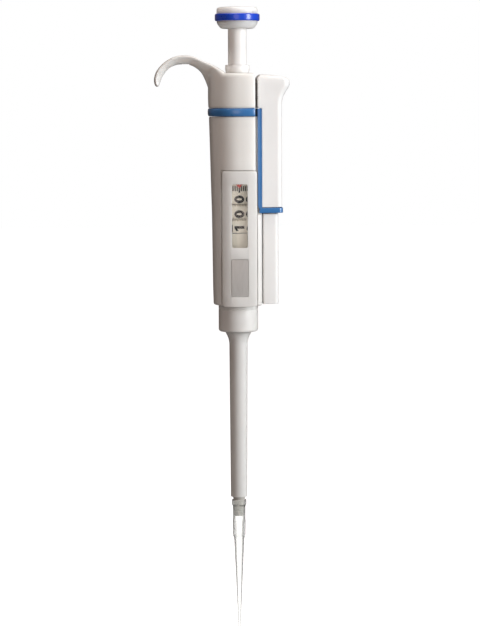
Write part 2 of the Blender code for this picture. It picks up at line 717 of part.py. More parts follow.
def build_display(build):
    """Front cover with the window and the label recess, the pane, the pointer and the plate."""
    outline = rounded_rectangle(-COVER_HALF, COVER_HALF, COVER_BOTTOM, COVER_TOP, 1.0, 3)
    reach = HANDLE_DEPTH / 2.0
    cover = side_plate(build, "display_cover", outline, reach, "plunger_axis", y=-HANDLE_DEPTH)
    build.cut(cover, shell_loft(build, "cover_face_form", COVER_PROUD), "INTERSECT")
    build.cut(cover, shell_loft(build, "cover_back_form", COVER_PROUD - COVER_THICK))
    window_outline = rounded_rectangle(-WINDOW_HALF, WINDOW_HALF, WINDOW_BOTTOM, WINDOW_TOP, 0.8, 3)
    opening = side_plate(build, "window_cutter", window_outline, 4.0, "plunger_axis", cutter=True, y=-COVER_FACE)
    build.cut(cover, opening)
    label_outline = rounded_rectangle(-LABEL_HALF, LABEL_HALF, LABEL_BOTTOM, LABEL_TOP, 0.6, 2)
    recess = side_plate(
        build, "label_recess_cutter", label_outline, LABEL_RECESS, "plunger_axis", cutter=True, y=-COVER_FACE,
    )
    build.cut(cover, recess)
    build.finish(cover, "body_plastic")

    plate_outline = rounded_rectangle(
        -LABEL_HALF + 0.15, LABEL_HALF - 0.15, LABEL_BOTTOM + 0.15, LABEL_TOP - 0.15, 0.5, 2,
    )
    plate_face = COVER_FACE - LABEL_RECESS + 0.35
    plate = side_plate(build, "label_plate", plate_outline, 0.15, "plunger_axis", y=-(plate_face - 0.15))
    build.finish(plate, "label_silver")

    pane_outline = rounded_rectangle(
        -WINDOW_HALF - PANE_MARGIN, WINDOW_HALF + PANE_MARGIN,
        WINDOW_BOTTOM - PANE_MARGIN, WINDOW_TOP + PANE_MARGIN, 0.5, 2,
    )
    back = COVER_FACE - COVER_THICK
    pane_face = oval_depth(WINDOW_HALF + PANE_MARGIN, left_reach(WINDOW_BOTTOM) - COVER_THICK, back) - REST_GAP
    pane_middle = -(pane_face - PANE_THICK / 2.0)
    pane = side_plate(build, "display_window", pane_outline, PANE_THICK / 2.0, "plunger_axis", y=pane_middle)
    build.finish(pane, "clear_pane")

    tip_z = WINDOW_TOP - 1.5
    triangle = [(0.0, tip_z), (1.0, WINDOW_TOP - 0.2), (-1.0, WINDOW_TOP - 0.2)]
    pointer = side_plate(
        build, "index_pointer", triangle, 0.15, "plunger_axis", y=-(pane_face - PANE_THICK - REST_GAP - 0.15),
    )
    build.finish(pointer, "pointer_red")


def build_wheel(build, name, anchor, top, bottom, gear, carry):
    """One number drum, with the gear ring above it and the carry disc below it."""
    parts = [(WHEEL_R, top), (WHEEL_R, bottom)]
    if carry:
        parts += [(CARRY_DISC_R, bottom), (CARRY_DISC_R, bottom - 0.45), (WHEEL_BORE_R, bottom - 0.45)]
    else:
        parts += [(WHEEL_BORE_R, bottom)]
    parts += [(WHEEL_BORE_R, top)]
    wheel = build.turned(name, parts, anchor, ROUND_STEPS, closed=True)
    if gear:
        ring = prism(
            build, name + "_gear_form", gear_outline(GEAR_TEETH, GEAR_TIP_R, GEAR_ROOT_R, math.pi / 2.0, TOOTH_LAND),
            top + 0.65, top - 0.2, anchor, cutter=True,
        )
        build.cut(wheel, ring, "UNION")
        bore = build.rod(name + "_bore_cutter", WHEEL_BORE_R, top + 2.0, bottom - 2.0, anchor, ROUND_STEPS, cutter=True)
        build.cut(wheel, bore)
    return build.finish(wheel, "wheel_tan")


def build_counter(build):
    """Number wheels on their fixed frame, and the carry pinions behind them."""
    tens_top = UNITS_BOTTOM - CARRY_GAP
    hundreds_top = TENS_BOTTOM - CARRY_GAP
    blank_top = HUNDREDS_BOTTOM - REST_GAP

    web_bore = THREAD_R + SLIDE_GAP
    units_profile = [
        (WHEEL_R, UNITS_TOP + 1.3), (WHEEL_R, UNITS_BOTTOM), (CARRY_DISC_R, UNITS_BOTTOM),
        (CARRY_DISC_R, UNITS_BOTTOM - 0.45), (WHEEL_BORE_R, UNITS_BOTTOM - 0.45), (WHEEL_BORE_R, UNITS_TOP),
        (web_bore, UNITS_TOP), (web_bore, UNITS_TOP + 1.3),
    ]
    units = build.turned("units_wheel", units_profile, "units_turn_axis", ROUND_STEPS, closed=True)
    build.finish(units, "wheel_tan")
    build_wheel(build, "tens_wheel", "tens_turn_axis", tens_top, TENS_BOTTOM, True, True)
    build_wheel(build, "hundreds_wheel", "hundreds_turn_axis", hundreds_top, HUNDREDS_BOTTOM, True, False)
    blank = build.tube("blank_ring", WHEEL_R, WHEEL_BORE_R, blank_top, BLANK_BOTTOM, "plunger_axis")
    build.finish(blank, "wheel_tan")

    flange_top = BLANK_BOTTOM - REST_GAP
    flange_bottom = flange_top - FRAME_FLANGE
    frame_profile = [
        (FRAME_R, UNITS_TOP - REST_GAP), (FRAME_R, flange_top), (BORE_R - 0.2, flange_top),
        (BORE_R - 0.2, flange_bottom), (FRAME_R, flange_bottom), (FRAME_R, FRAME_BOTTOM),
        (FRAME_BORE_R, FRAME_BOTTOM), (FRAME_BORE_R, UNITS_TOP - REST_GAP),
    ]
    frame = build.turned("counter_frame", frame_profile, "plunger_axis", ROUND_STEPS, closed=True)
    ear = build.box(
        "frame_ear_form", (-1.5, FRAME_R + 1.0, flange_bottom), (1.5, PINION_Y + 1.3, flange_top),
        "plunger_axis", cutter=True,
    )
    build.cut(frame, ear, "UNION")
    shaft_hole = build.rod(
        "shaft_hole_cutter", PINION_SHAFT_R + SLIDE_GAP, flange_top + 1.0, flange_bottom - 1.0, "plunger_axis",
        12, cutter=True, location=(0.0, PINION_Y, 0.0),
    )
    build.cut(frame, shaft_hole)
    key_slot = build.box(
        "nut_key_slot_cutter", (-1.0, FRAME_BORE_R - 2.1, SLEEVE_BOTTOM - 2.0), (1.0, FRAME_R + 0.4, NUT_TOP + 0.6),
        "plunger_axis", cutter=True,
    )
    build.cut(frame, key_slot)
    build.finish(frame, "dark_plastic")

    shaft = build.rod(
        "pinion_shaft", PINION_SHAFT_R, BORE_TOP - 0.4, flange_bottom + 0.2, "plunger_axis", 12,
        location=(0.0, PINION_Y, 0.0),
    )
    build.finish(shaft, "steel")
    half_tooth = math.pi / PINION_TEETH
    for name, anchor, top in (
        ("units_pinion", "units_pinion_axis", UNITS_BOTTOM - 0.15),
        ("tens_pinion", "tens_pinion_axis", TENS_BOTTOM - 0.15),
    ):
        outline = gear_outline(PINION_TEETH, PINION_TIP_R, PINION_ROOT_R, -math.pi / 2.0 + half_tooth, TOOTH_LAND)
        pinion = prism(build, name, outline, top, top - 1.0, anchor)
        hole = build.rod(
            name + "_hole_cutter", PINION_SHAFT_R + 0.12, top + 1.0, top - 2.0, anchor, 12, cutter=True,
        )
        build.cut(pinion, hole)
        build.finish(pinion, "dark_plastic", smooth=False)


def build_volume_screw(build):
    """Threaded sleeve that the push rod turns, and the stop nut that rides on it."""
    profile = [(SLEEVE_FLANGE_R, SLEEVE_TOP), (SLEEVE_FLANGE_R, SLEEVE_TOP - 1.2), (SLEEVE_R, SLEEVE_TOP - 1.2)]
    z = THREAD_TOP
    while z - THREAD_PITCH > SLEEVE_BOTTOM + 0.5:
        profile += [(SLEEVE_R, z), (THREAD_R, z - THREAD_PITCH / 2.0)]
        z -= THREAD_PITCH
    bore_r = SLEEVE_HEX_ACROSS / math.sqrt(3.0) + 0.35
    profile += [(SLEEVE_R, SLEEVE_BOTTOM), (bore_r, SLEEVE_BOTTOM), (bore_r, SLEEVE_TOP)]
    sleeve = build.turned("volume_sleeve", profile, "units_turn_axis", 12, closed=True)
    build.finish(sleeve, "brass")

    skirt_bottom = CARRIER_TOP + REST_GAP
    nut_profile = [
        (NUT_R, NUT_TOP), (NUT_R, skirt_bottom), (NUT_SKIRT_BORE_R, skirt_bottom),
        (NUT_SKIRT_BORE_R, NUT_THREAD_BOTTOM), (NUT_BORE_R, NUT_THREAD_BOTTOM), (NUT_BORE_R, NUT_TOP),
    ]
    nut = build.turned("volume_stop_nut", nut_profile, "stop_nut_axis", 24, closed=True)
    key = build.box(
        "nut_key_form", (-0.7, NUT_R - 0.3, NUT_TOP - 4.0), (0.7, FRAME_R - 0.1, NUT_TOP - 0.5),
        "stop_nut_axis", cutter=True,
    )
    build.cut(nut, key, "UNION")
    build.finish(nut, "brass")


def build_plunger(build):
    """Piston with its carrier, the first stop and the two springs."""
    shank_r = 1.15
    shank_top = CARRIER_BOTTOM + 5.0
    flange_bottom = CARRIER_TOP - CARRIER_FLANGE
    carrier_profile = [
        (0.0, CARRIER_TOP), (CARRIER_FLANGE_R, CARRIER_TOP), (CARRIER_FLANGE_R, flange_bottom),
        (CARRIER_STOP_R, flange_bottom), (CARRIER_STOP_R, CARRIER_BOTTOM), (shank_r + SLIDE_GAP, CARRIER_BOTTOM),
        (shank_r + SLIDE_GAP, shank_top + REST_GAP), (0.0, shank_top + REST_GAP),
    ]
    carrier = build.turned("piston_carrier", carrier_profile, "plunger_push_axis", 24)
    build.finish(carrier, "brass")
    piston_profile = [
        (0.0, shank_top), (shank_r, shank_top), (shank_r, CARRIER_BOTTOM - REST_GAP),
        (PISTON_R, CARRIER_BOTTOM - REST_GAP), (PISTON_R, PISTON_BOTTOM + 0.5),
        (PISTON_R - 0.5, PISTON_BOTTOM), (0.0, PISTON_BOTTOM),
    ]
    piston = build.turned("piston", piston_profile, "plunger_push_axis", SMALL_STEPS)
    build.finish(piston, "steel")

    plate_top = CARRIER_BOTTOM - STROKE - 0.1
    plate_bottom = plate_top - PLATE_THICK
    plate = build.tube(
        "first_stop_plate", PLATE_R, PISTON_R + 0.25, plate_top, plate_bottom, "first_stop_axis", ROUND_STEPS,
    )
    build.finish(plate, "steel")
    primary = build.coil(
        "primary_spring", PRIMARY_COIL_R, PRIMARY_WIRE_R, plate_top + 0.05, flange_bottom - 0.05,
        PRIMARY_TURNS, "first_stop_axis",
    )
    build.finish(primary, "steel", smooth=False)
    blowout = build.coil(
        "blowout_spring", BLOWOUT_COIL_R, BLOWOUT_WIRE_R, CONE_FLANGE_TOP + 0.05, plate_bottom - 0.05,
        BLOWOUT_TURNS, "plunger_axis",
    )
    build.finish(blowout, "steel", smooth=False)


def build_cone(build):
    """Tip cone with its cup, long tube and grooved nose, and the seal stack."""
    end_in = 0.9
    groove = 0.16
    pass_r = FLARE_R - SLEEVE_WALL - 0.4
    outer = [
        (CONE_FLANGE_R, CONE_FLANGE_TOP), (CONE_FLANGE_R, FLOOR_TOP + REST_GAP), (CONE_SPIGOT_R, FLOOR_TOP + REST_GAP),
        (CONE_SPIGOT_R, CONE_SPIGOT_BOTTOM), (pass_r, COLLAR_BOTTOM + 1.8), (pass_r - 0.55, FLARE_TOP - 0.1),
        (CONE_TUBE_R + 0.4, FLARE_TOP - 3.1), (CONE_TUBE_R + 0.15, FLARE_BOTTOM - 1.1),
        (CONE_TUBE_R, FLARE_BOTTOM - 25.1), (CONE_SHOULDER_R, CONE_SHOULDER_Z + 2.6), (CONE_SHOULDER_R, CONE_SHOULDER_Z),
    ]
    for below in (0.6, 2.8, 5.6):
        z = CONE_SHOULDER_Z - below
        r = float(np.interp(z, (CONE_END, CONE_SHOULDER_Z), (CONE_NOSE_R, CONE_SHOULDER_R - 0.1)))
        outer += [(r, z), (r - groove, z - 0.2), (r - 0.03, z - 0.5)]
    outer += [(CONE_NOSE_R, CONE_END + 0.3), (CONE_NOSE_R - 0.25, CONE_END)]
    inner = [
        (end_in, CONE_END), (end_in, CONE_SHOULDER_Z + 1.1), (CONE_BORE_R, CONE_SHOULDER_Z + 2.0),
        (CONE_BORE_R, SEAL_POCKET_FLOOR),
        (SEAL_POCKET_R, SEAL_POCKET_FLOOR), (SEAL_POCKET_R, CUP_FLOOR), (CUP_R - 0.5, CUP_FLOOR),
        (CUP_R, CUP_FLOOR + 3.0), (CUP_R, CONE_FLANGE_TOP),
    ]
    cone = build.turned("tip_cone", outer + inner, "plunger_axis", 20, closed=True)
    build.finish(cone, "cone_grey")

    seal_r_in = PISTON_R + 0.06
    seal_r_out = SEAL_POCKET_R - 0.08
    seal = build.tube(
        "piston_seal", seal_r_out, seal_r_in, SEAL_POCKET_FLOOR + 3.4, SEAL_POCKET_FLOOR + REST_GAP,
        "plunger_axis", SMALL_STEPS,
    )
    build.finish(seal, "seal_white")
    ring_mid = (seal_r_in + seal_r_out) / 2.0
    ring_wire = (seal_r_out - seal_r_in) / 2.0
    ring_z = SEAL_POCKET_FLOOR + 3.4 + REST_GAP + ring_wire
    section = []
    for i in range(8):
        angle = math.tau * i / 8
        section.append((ring_mid + ring_wire * math.cos(angle), ring_z - ring_wire * math.sin(angle)))
    o_ring = build.turned("seal_o_ring", section, "plunger_axis", 16, closed=True)
    build.finish(o_ring, "o_ring_black")
    retainer_profile = [
        (CUP_R - 0.9, CUP_FLOOR + 1.5), (CUP_R - 0.9, CUP_FLOOR + REST_GAP),
        (SEAL_POCKET_R - SLIDE_GAP, CUP_FLOOR + REST_GAP),
        (SEAL_POCKET_R - SLIDE_GAP, ring_z + ring_wire + REST_GAP), (PISTON_R + 0.2, ring_z + ring_wire + REST_GAP),
        (PISTON_R + 0.2, CUP_FLOOR + 1.5),
    ]
    retainer = build.turned("seal_retainer", retainer_profile, "plunger_axis", SMALL_STEPS, closed=True)
    build.finish(retainer, "dark_plastic")


def build_ejector_sleeve(build):
    """Collar under the handle and the long sleeve with its trumpet top."""
    line = COLLAR_TOP - COLLAR_LINE
    collar_in = COLLAR_R - COLLAR_WALL
    sleeve_pass = FLARE_R - SLEEVE_WALL
    profile = [
        (COLLAR_R - 0.3, COLLAR_TOP), (COLLAR_R, COLLAR_TOP - 0.3), (COLLAR_R, line), (COLLAR_R - 0.2, line - 0.2),
        (COLLAR_R - 0.2, line - 0.5), (COLLAR_R, line - 0.7), (COLLAR_R, COLLAR_BOTTOM + 1.2),
        (COLLAR_R - 0.35, COLLAR_BOTTOM + 0.4), (COLLAR_R - 1.2, COLLAR_BOTTOM), (sleeve_pass, COLLAR_BOTTOM),
        (sleeve_pass, COLLAR_BOTTOM + 1.4), (collar_in, COLLAR_BOTTOM + 2.4), (collar_in, COLLAR_TOP),
    ]
    collar = build.turned("ejector_collar", profile, "ejector_press_axis", 24, closed=True)
    build.finish(collar, "body_plastic")

    outer = [(FLARE_R, FLARE_TOP)]
    steps = 5
    for i in range(1, steps + 1):
        t = i / steps
        r = SLEEVE_TOP_R + (FLARE_R - SLEEVE_TOP_R) * (1.0 - math.sin(t * math.pi / 2.0)) ** 1.25
        outer.append((r, FLARE_TOP + (FLARE_BOTTOM - FLARE_TOP) * t))
    outer += [(SLEEVE_END_R, SLEEVE_END + 0.25), (SLEEVE_END_R - 0.15, SLEEVE_END)]
    inner = [(SLEEVE_END_R - SLEEVE_END_WALL, SLEEVE_END), (SLEEVE_TOP_R - SLEEVE_WALL, FLARE_BOTTOM)]
    inner += [(r - SLEEVE_WALL, z) for r, z in reversed(outer[1:steps])]
    inner += [(FLARE_R - SLEEVE_WALL, FLARE_TOP)]
    sleeve = build.turned("ejector_sleeve", outer + inner, "ejector_press_axis", 20, closed=True)
    build.finish(sleeve, "body_plastic")


def build_thumb_ejector(build):
    """Thumb piece with its channel, the blue trim, the rod and its spring."""
    x0 = CHANNEL_INNER_X
    x1 = CHANNEL_OUTER_X
    lip = x1 + PAD_OVERHANG
    pad_floor = PAD_TOP - 3.8
    outline = [
        (x0, PAD_TOP - 1.0), (x0 + 0.8, PAD_TOP - 0.1), (x0 + 2.4, PAD_TOP), (x1 - 2.9, PAD_TOP),
        (x1 + 0.2, PAD_TOP - 0.7), (lip - 0.85, PAD_TOP - 1.6), (lip - 0.05, PAD_TOP - 2.6), (lip, PAD_TOP - 5.0),
        (lip - 0.75, PAD_TOP - 5.9), (lip - 1.95, PAD_TOP - 7.4), (x1 + 0.6, PAD_TOP - 9.2), (x1 + 0.1, PAD_TOP - 11.0),
        (x1, PAD_TOP - 12.8), (x1, WRAP_TOP + 0.2), (x0, WRAP_TOP + 0.2),
    ]
    thumb = side_plate(build, "thumb_ejector", outline, CHANNEL_HALF, "ejector_press_axis")
    build.bevel(thumb, 0.8, 2, 50.0)
    inner_half = CHANNEL_HALF - CHANNEL_WALL
    inner_x = x1 - CHANNEL_BACK_WALL
    hollow = build.box(
        "channel_hollow_cutter", (0.0, -inner_half, -80.0), (inner_x, inner_half, WEB_BOTTOM),
        "ejector_press_axis", cutter=True,
    )
    build.cut(thumb, hollow)
    hollow_top = build.box(
        "channel_top_cutter", (0.0, -inner_half, WEB_TOP), (inner_x, inner_half, pad_floor),
        "ejector_press_axis", cutter=True,
    )
    build.cut(thumb, hollow_top)
    web_clear = build.box(
        "web_clear_cutter", (0.0, -inner_half, -80.0), (SPINE_X + REST_GAP + 0.1, inner_half, pad_floor),
        "ejector_press_axis", cutter=True,
    )
    build.cut(thumb, web_clear)
    for side, sign in (("front", -1.0), ("back", 1.0)):
        span = sorted((sign * (inner_half - 1.0), sign * (CHANNEL_HALF + 1.0)))
        strip = build.box(
            side + "_strip_cutter", (0.0, span[0], -80.0), (x0 + TRIM_WIDTH + 0.15, span[1], TRIM_TOP + 0.15),
            "ejector_press_axis", cutter=True,
        )
        build.cut(thumb, strip)
    rod_hole = build.rod(
        "thumb_rod_cutter", ROD_R + SLIDE_GAP, ROD_TOP + REST_GAP, -80.0, "ejector_press_axis", 16, cutter=True,
        location=(ROD_X, 0.0, 0.0),
    )
    build.cut(thumb, rod_hole)
    build.finish(thumb, "body_plastic")

    wrap_outline = rounded_rectangle(
        x0 + 0.5, x1 + WRAP_PROUD, -CHANNEL_HALF - WRAP_PROUD, CHANNEL_HALF + WRAP_PROUD, 1.1, 3,
    )
    trim = prism(build, "ejector_trim", wrap_outline, WRAP_TOP, WRAP_BOTTOM, "ejector_press_axis")
    build.bevel(trim, 0.25, 1, 60.0)
    for side, sign in (("front", -1.0), ("back", 1.0)):
        span = sorted((sign * (inner_half + 0.02), sign * CHANNEL_HALF))
        strip_outline = [
            (x0, TRIM_TOP), (x0 + TRIM_WIDTH - 0.6, TRIM_TOP), (x0 + TRIM_WIDTH, TRIM_TOP - 0.6),
            (x0 + TRIM_WIDTH, WRAP_TOP - 1.0), (x0 + 1.2, WRAP_TOP - 1.0), (x0 + 0.35, WRAP_TOP + 0.1),
            (x0, WRAP_TOP + 1.3),
        ]
        strip = side_plate(
            build, side + "_strip_form", strip_outline, (span[1] - span[0]) / 2.0, "ejector_press_axis",
            cutter=True, y=(span[0] + span[1]) / 2.0,
        )
        build.cut(trim, strip, "UNION")
    wrap_hollow = build.box(
        "wrap_hollow_cutter", (-1.0, -inner_half, WRAP_BOTTOM - 5.0), (inner_x, inner_half, WRAP_TOP + 5.0),
        "ejector_press_axis", cutter=True,
    )
    build.cut(trim, wrap_hollow)
    build.finish(trim, "steel_blue")

    rod = build.rod(
        "ejector_rod", ROD_R, ROD_TOP, FOOT_TOP - 0.6, "ejector_press_axis", 16, location=(ROD_X, 0.0, 0.0),
    )
    foot = build.box(
        "rod_foot_form", (COLLAR_R - COLLAR_WALL + 0.1, -FOOT_HALF, FOOT_BOTTOM), (ROD_X + 1.2, FOOT_HALF, FOOT_TOP),
        "ejector_press_axis", cutter=True,
    )
    build.cut(rod, foot, "UNION")
    build.finish(rod, "steel")
    spring = build.coil(
        "ejector_spring", EJECT_COIL_R, EJECT_WIRE_R, GUIDE_TOP + 0.05, WEB_BOTTOM - 0.05, EJECT_TURNS,
        "plunger_axis", location=(ROD_X, 0.0, 0.0),
    )
    build.finish(spring, "steel", smooth=False)


def build_ejector_guide(build):
    """Cover under the thumb ejector, hollow, with a deck that the rod runs through."""
    outline = rounded_rectangle(GUIDE_X, GUIDE_OUTER_X, -GUIDE_HALF, GUIDE_HALF, 1.6, 4)
    guide = prism(build, "ejector_guide", outline, GUIDE_TOP, GUIDE_BOTTOM, "plunger_axis")
    build.bevel(guide, 0.4, 1, 60.0)
    hollow = build.box(
        "guide_hollow_cutter",
        (GUIDE_X + 0.9, -GUIDE_HALF + GUIDE_WALL, -120.0),
        (GUIDE_OUTER_X - GUIDE_WALL, GUIDE_HALF - GUIDE_WALL, GUIDE_TOP - 2.0),
        "plunger_axis", cutter=True,
    )
    build.cut(guide, hollow)
    hole = build.rod(
        "guide_hole_cutter", ROD_R + SLIDE_GAP, -50.0, -80.0, "plunger_axis", 16, cutter=True,
        location=(ROD_X, 0.0, 0.0),
    )
    build.cut(guide, hole)
    slot = build.box(
        "guide_foot_cutter", (8.0, -FOOT_HALF - 0.5, -120.0), (GUIDE_X + 2.0, FOOT_HALF + 0.5, FOOT_TOP + REST_GAP),
        "plunger_axis", cutter=True,
    )
    build.cut(guide, slot)
    build.finish(guide, "body_plastic")


def build_tip(build):
    """Clear tapered tip with a collar and fine ribs on its upper tube."""
    fit = TIP_FIT
    shoulder = CONE_SHOULDER_R - 0.1 + fit
    nose_inner = CONE_NOSE_R + fit
    outer = [
        (TIP_COLLAR_R, TIP_TOP), (TIP_COLLAR_R, TIP_COLLAR_BOTTOM), (TIP_UPPER_R, TIP_COLLAR_BOTTOM - 0.4),
        (TIP_STEP_R, TIP_STEP_Z + 0.8), (TIP_LOWER_R, TIP_STEP_Z), (TIP_END_R, TIP_END),
    ]
    nose_wall = 0.22
    inner = [
        (TIP_END_R - nose_wall, TIP_END), (TIP_LOWER_R - 0.45, TIP_STEP_Z), (TIP_STEP_R - 0.45, TIP_STEP_Z + 0.8),
        (nose_inner, CONE_END - 0.4), (shoulder, TIP_TOP),
    ]
    tip = build.turned("disposable_tip", outer + inner, "tip_axis", 20, closed=True)
    build.finish(tip, "tip_clear")


def main():
    clear_scene()
    build = Builder()
    build.anchor("first_stop_axis", (0.0, 0.0, 0.0))
    build.anchor("plunger_push_axis", (0.0, 0.0, 0.0), "first_stop_axis")
    build.anchor("button_turn_axis", (0.0, 0.0, 0.0), "plunger_push_axis")
    build.anchor("units_turn_axis", (0.0, 0.0, 0.0))
    build.anchor("tens_turn_axis", (0.0, 0.0, 0.0))
    build.anchor("hundreds_turn_axis", (0.0, 0.0, 0.0))
    build.anchor("units_pinion_axis", (0.0, PINION_Y, 0.0))
    build.anchor("tens_pinion_axis", (0.0, PINION_Y, 0.0))
    build.anchor("stop_nut_axis", (0.0, 0.0, 0.0))
    build.anchor("ejector_press_axis", (0.0, 0.0, 0.0))
    build.anchor("tip_axis", (0.0, 0.0, 0.0))
    build_button(build)
    build_upper_housing(build)
    build_lower_housing(build)
    build_display(build)
    build_counter(build)
    build_volume_screw(build)
    build_plunger(build)
    build_cone(build)
    build_ejector_sleeve(build)
    build_thumb_ejector(build)
    build_ejector_guide(build)
    build_tip(build)


main()
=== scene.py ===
"""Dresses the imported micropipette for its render: fine surfaces, finishes, light and camera.

Lengths in the classes are millimetres. X is counted from the plunger axis, Y towards the
back and Z upwards from the small flat land in the finger hook's crown.
"""

import logging
import math
from collections.abc import Sequence
from dataclasses import dataclass, field
from enum import Enum

import bmesh
import bpy
import numpy as np
from mathutils import Matrix, Vector


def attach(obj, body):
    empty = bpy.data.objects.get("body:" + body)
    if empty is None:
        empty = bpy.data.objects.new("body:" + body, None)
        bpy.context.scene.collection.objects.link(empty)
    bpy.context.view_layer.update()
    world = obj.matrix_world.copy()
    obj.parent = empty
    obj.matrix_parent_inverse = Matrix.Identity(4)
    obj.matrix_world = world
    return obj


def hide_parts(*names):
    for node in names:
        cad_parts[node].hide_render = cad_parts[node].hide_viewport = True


LOG = logging.getLogger("micropipette")
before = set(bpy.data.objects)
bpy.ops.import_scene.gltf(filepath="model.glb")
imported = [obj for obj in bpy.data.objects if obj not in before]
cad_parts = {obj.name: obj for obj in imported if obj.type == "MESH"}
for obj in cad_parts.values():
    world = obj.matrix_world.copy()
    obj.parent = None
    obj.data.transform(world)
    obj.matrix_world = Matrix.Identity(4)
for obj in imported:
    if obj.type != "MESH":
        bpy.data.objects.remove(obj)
MM = 0.001
AXIS_X = 22.8  # plunger axis, from the frame's origin
DRUM_RADIUS = 8.55  # number wheels and the plain ring under them
ROD_X = 13.9  # ejector rod's axis
ROD_HOLE = 1.55  # radius of the holes that the rod runs in
FOOT_HALF = 2.8  # half width of the slot for the rod's foot
CUT_EDGE = 0.01  # edge radius of a cutting tool, as good as sharp
WELD_M = 4e-7  # points nearer than this are one point
SHARP_DEG = 35.0  # edges that turn more than this stay sharp

Outline = Sequence[tuple[float, float]]


# Colour and node helpers

def srgb(code: str) -> tuple[float, float, float, float]:
    """Turn a colour written as sRGB hex into linear values.

    Args:
        code: six hex digits.

    Returns:
        Linear red, green and blue, and an alpha of one.
    """
    channels = [int(code[i:i + 2], 16) / 255.0 for i in (0, 2, 4)]
    linear = [c / 12.92 if c <= 0.04045 else ((c + 0.055) / 1.055) ** 2.4 for c in channels]
    return (linear[0], linear[1], linear[2], 1.0)


def set_inputs(tree: bpy.types.NodeTree, node: bpy.types.Node, inputs: dict) -> None:
    """Set or link the input sockets of a node.

    Args:
        tree: tree that the node is in.
        node: node to set.
        inputs: socket values by name or number; a socket in place of a value is linked.
    """
    for key, value in inputs.items():
        if isinstance(value, bpy.types.NodeSocket):
            tree.links.new(value, node.inputs[key])
        else:
            node.inputs[key].default_value = value


def add_node(tree: bpy.types.NodeTree, kind: str, inputs: dict | None = None,
             settings: dict | None = None, stops: tuple[tuple[float, str], ...] = ()) -> bpy.types.Node:
    """Add a shader node with its settings, input values and links.

    Args:
        tree: tree that gets the node.
        kind: Blender's name for the node type.
        inputs: socket values, as for set_inputs.
        settings: attributes to set on the node.
        stops: position and sRGB hex of the stops, for a colour ramp.

    Returns:
        The new node.
    """
    node = tree.nodes.new(kind)
    for key, value in (settings or {}).items():
        setattr(node, key, value)
    for k, (position, code) in enumerate(stops):
        node.color_ramp.elements[k].position = position
        node.color_ramp.elements[k].color = srgb(code)
    set_inputs(tree, node, inputs or {})
    return node


def empty_tree(owner: bpy.types.Material | bpy.types.World) -> bpy.types.NodeTree:
    """Switch a material or a world to nodes and empty its tree."""
    owner.use_nodes = True
    owner.node_tree.nodes.clear()
    return owner.node_tree


def new_material(name: str) -> tuple[bpy.types.Material, bpy.types.NodeTree, bpy.types.Node]:
    """Make a node material with only a Principled shader on its output.

    Args:
        name: material name.

    Returns:
        The material, its tree and the shader node.
    """
    material = bpy.data.materials.new(name)
    tree = empty_tree(material)
    shader = add_node(tree, "ShaderNodeBsdfPrincipled")
    add_node(tree, "ShaderNodeOutputMaterial", {"Surface": shader.outputs["BSDF"]})
    return material, tree, shader


# Finishes

@dataclass(frozen=True)
class MouldedPlastic:
    """Opaque injection-moulded plastic with a fine spark-eroded grain.

    The colour drifts slightly over tens of millimetres, the grain is a fraction of a
    millimetre, and the gloss varies where hands polish the surface. Light walls let some
    light through, more of the red, which gives the eye soft and warm shadows. Where the
    surface turns away from the eye the colour is darkened a little: painted shade at the edges.
    """

    name: str
    base: str
    shade: str
    rough_low: float = 0.34
    rough_high: float = 0.46
    grain_mm: float = 0.28
    grain_height_mm: float = 0.006
    coat: float = 0.0
    specular: float = 0.5
    milk: float = 0.0
    bleed_mm: float = 6.0
    drift_mm: float = 23.81
    polish_mm: float = 7.692

    def build(self) -> bpy.types.Material:
        """Make the material's nodes."""
        material, tree, shader = new_material(self.name)
        place = add_node(tree, "ShaderNodeTexCoord").outputs["Object"]
        drift = add_node(tree, "ShaderNodeTexNoise", {
            "Vector": place, "Scale": 1.0 / (self.drift_mm * MM), "Detail": 2.0, "Roughness": 0.5})
        colour = add_node(tree, "ShaderNodeValToRGB", {"Fac": drift.outputs["Fac"]},
                          stops=((0.3, self.shade), (0.7, self.base)))
        polish = add_node(tree, "ShaderNodeTexNoise", {
            "Vector": place, "Scale": 1.0 / (self.polish_mm * MM), "Detail": 4.0, "Roughness": 0.6})
        rough = add_node(tree, "ShaderNodeMapRange", {
            "Value": polish.outputs["Fac"], "From Min": 0.25, "From Max": 0.75,
            "To Min": self.rough_low, "To Max": self.rough_high})
        grain = add_node(tree, "ShaderNodeTexNoise", {
            "Vector": place, "Scale": 1.0 / (self.grain_mm * MM), "Detail": 2.0, "Roughness": 0.55})
        bump = add_node(tree, "ShaderNodeBump", {
            "Height": grain.outputs["Fac"], "Strength": 0.35, "Distance": self.grain_height_mm * MM})
        # Painted shade: the colour darkens towards D6D5D4 where the surface turns away from the eye.
        slant = add_node(tree, "ShaderNodeLayerWeight", {"Blend": 0.5})
        rim = add_node(tree, "ShaderNodeValToRGB", {"Fac": slant.outputs["Facing"]},
                       stops=((0.45, "FFFFFF"), (0.95, "D6D5D4")))
        colour_with_painted_shade = add_node(tree, "ShaderNodeVectorMath", {
            0: colour.outputs["Color"], 1: rim.outputs["Color"]}, {"operation": "MULTIPLY"})
        set_inputs(tree, shader, {
            "Base Color": colour_with_painted_shade.outputs["Vector"], "Roughness": rough.outputs["Result"],
            "Normal": bump.outputs["Normal"], "IOR": 1.5, "Specular IOR Level": self.specular,
            "Coat Weight": self.coat, "Coat Roughness": 0.14, "Subsurface Weight": self.milk,
            "Subsurface Radius": (1.0, 0.92, 0.88), "Subsurface Scale": self.bleed_mm * MM})
        return material


@dataclass(frozen=True)
class Ink(MouldedPlastic):
    """Printed ink: a thin, matt film, slightly uneven to the eye."""

    rough_low: float = 0.5
    rough_high: float = 0.65
    grain_mm: float = 0.15
    grain_height_mm: float = 0.003
    specular: float = 0.08


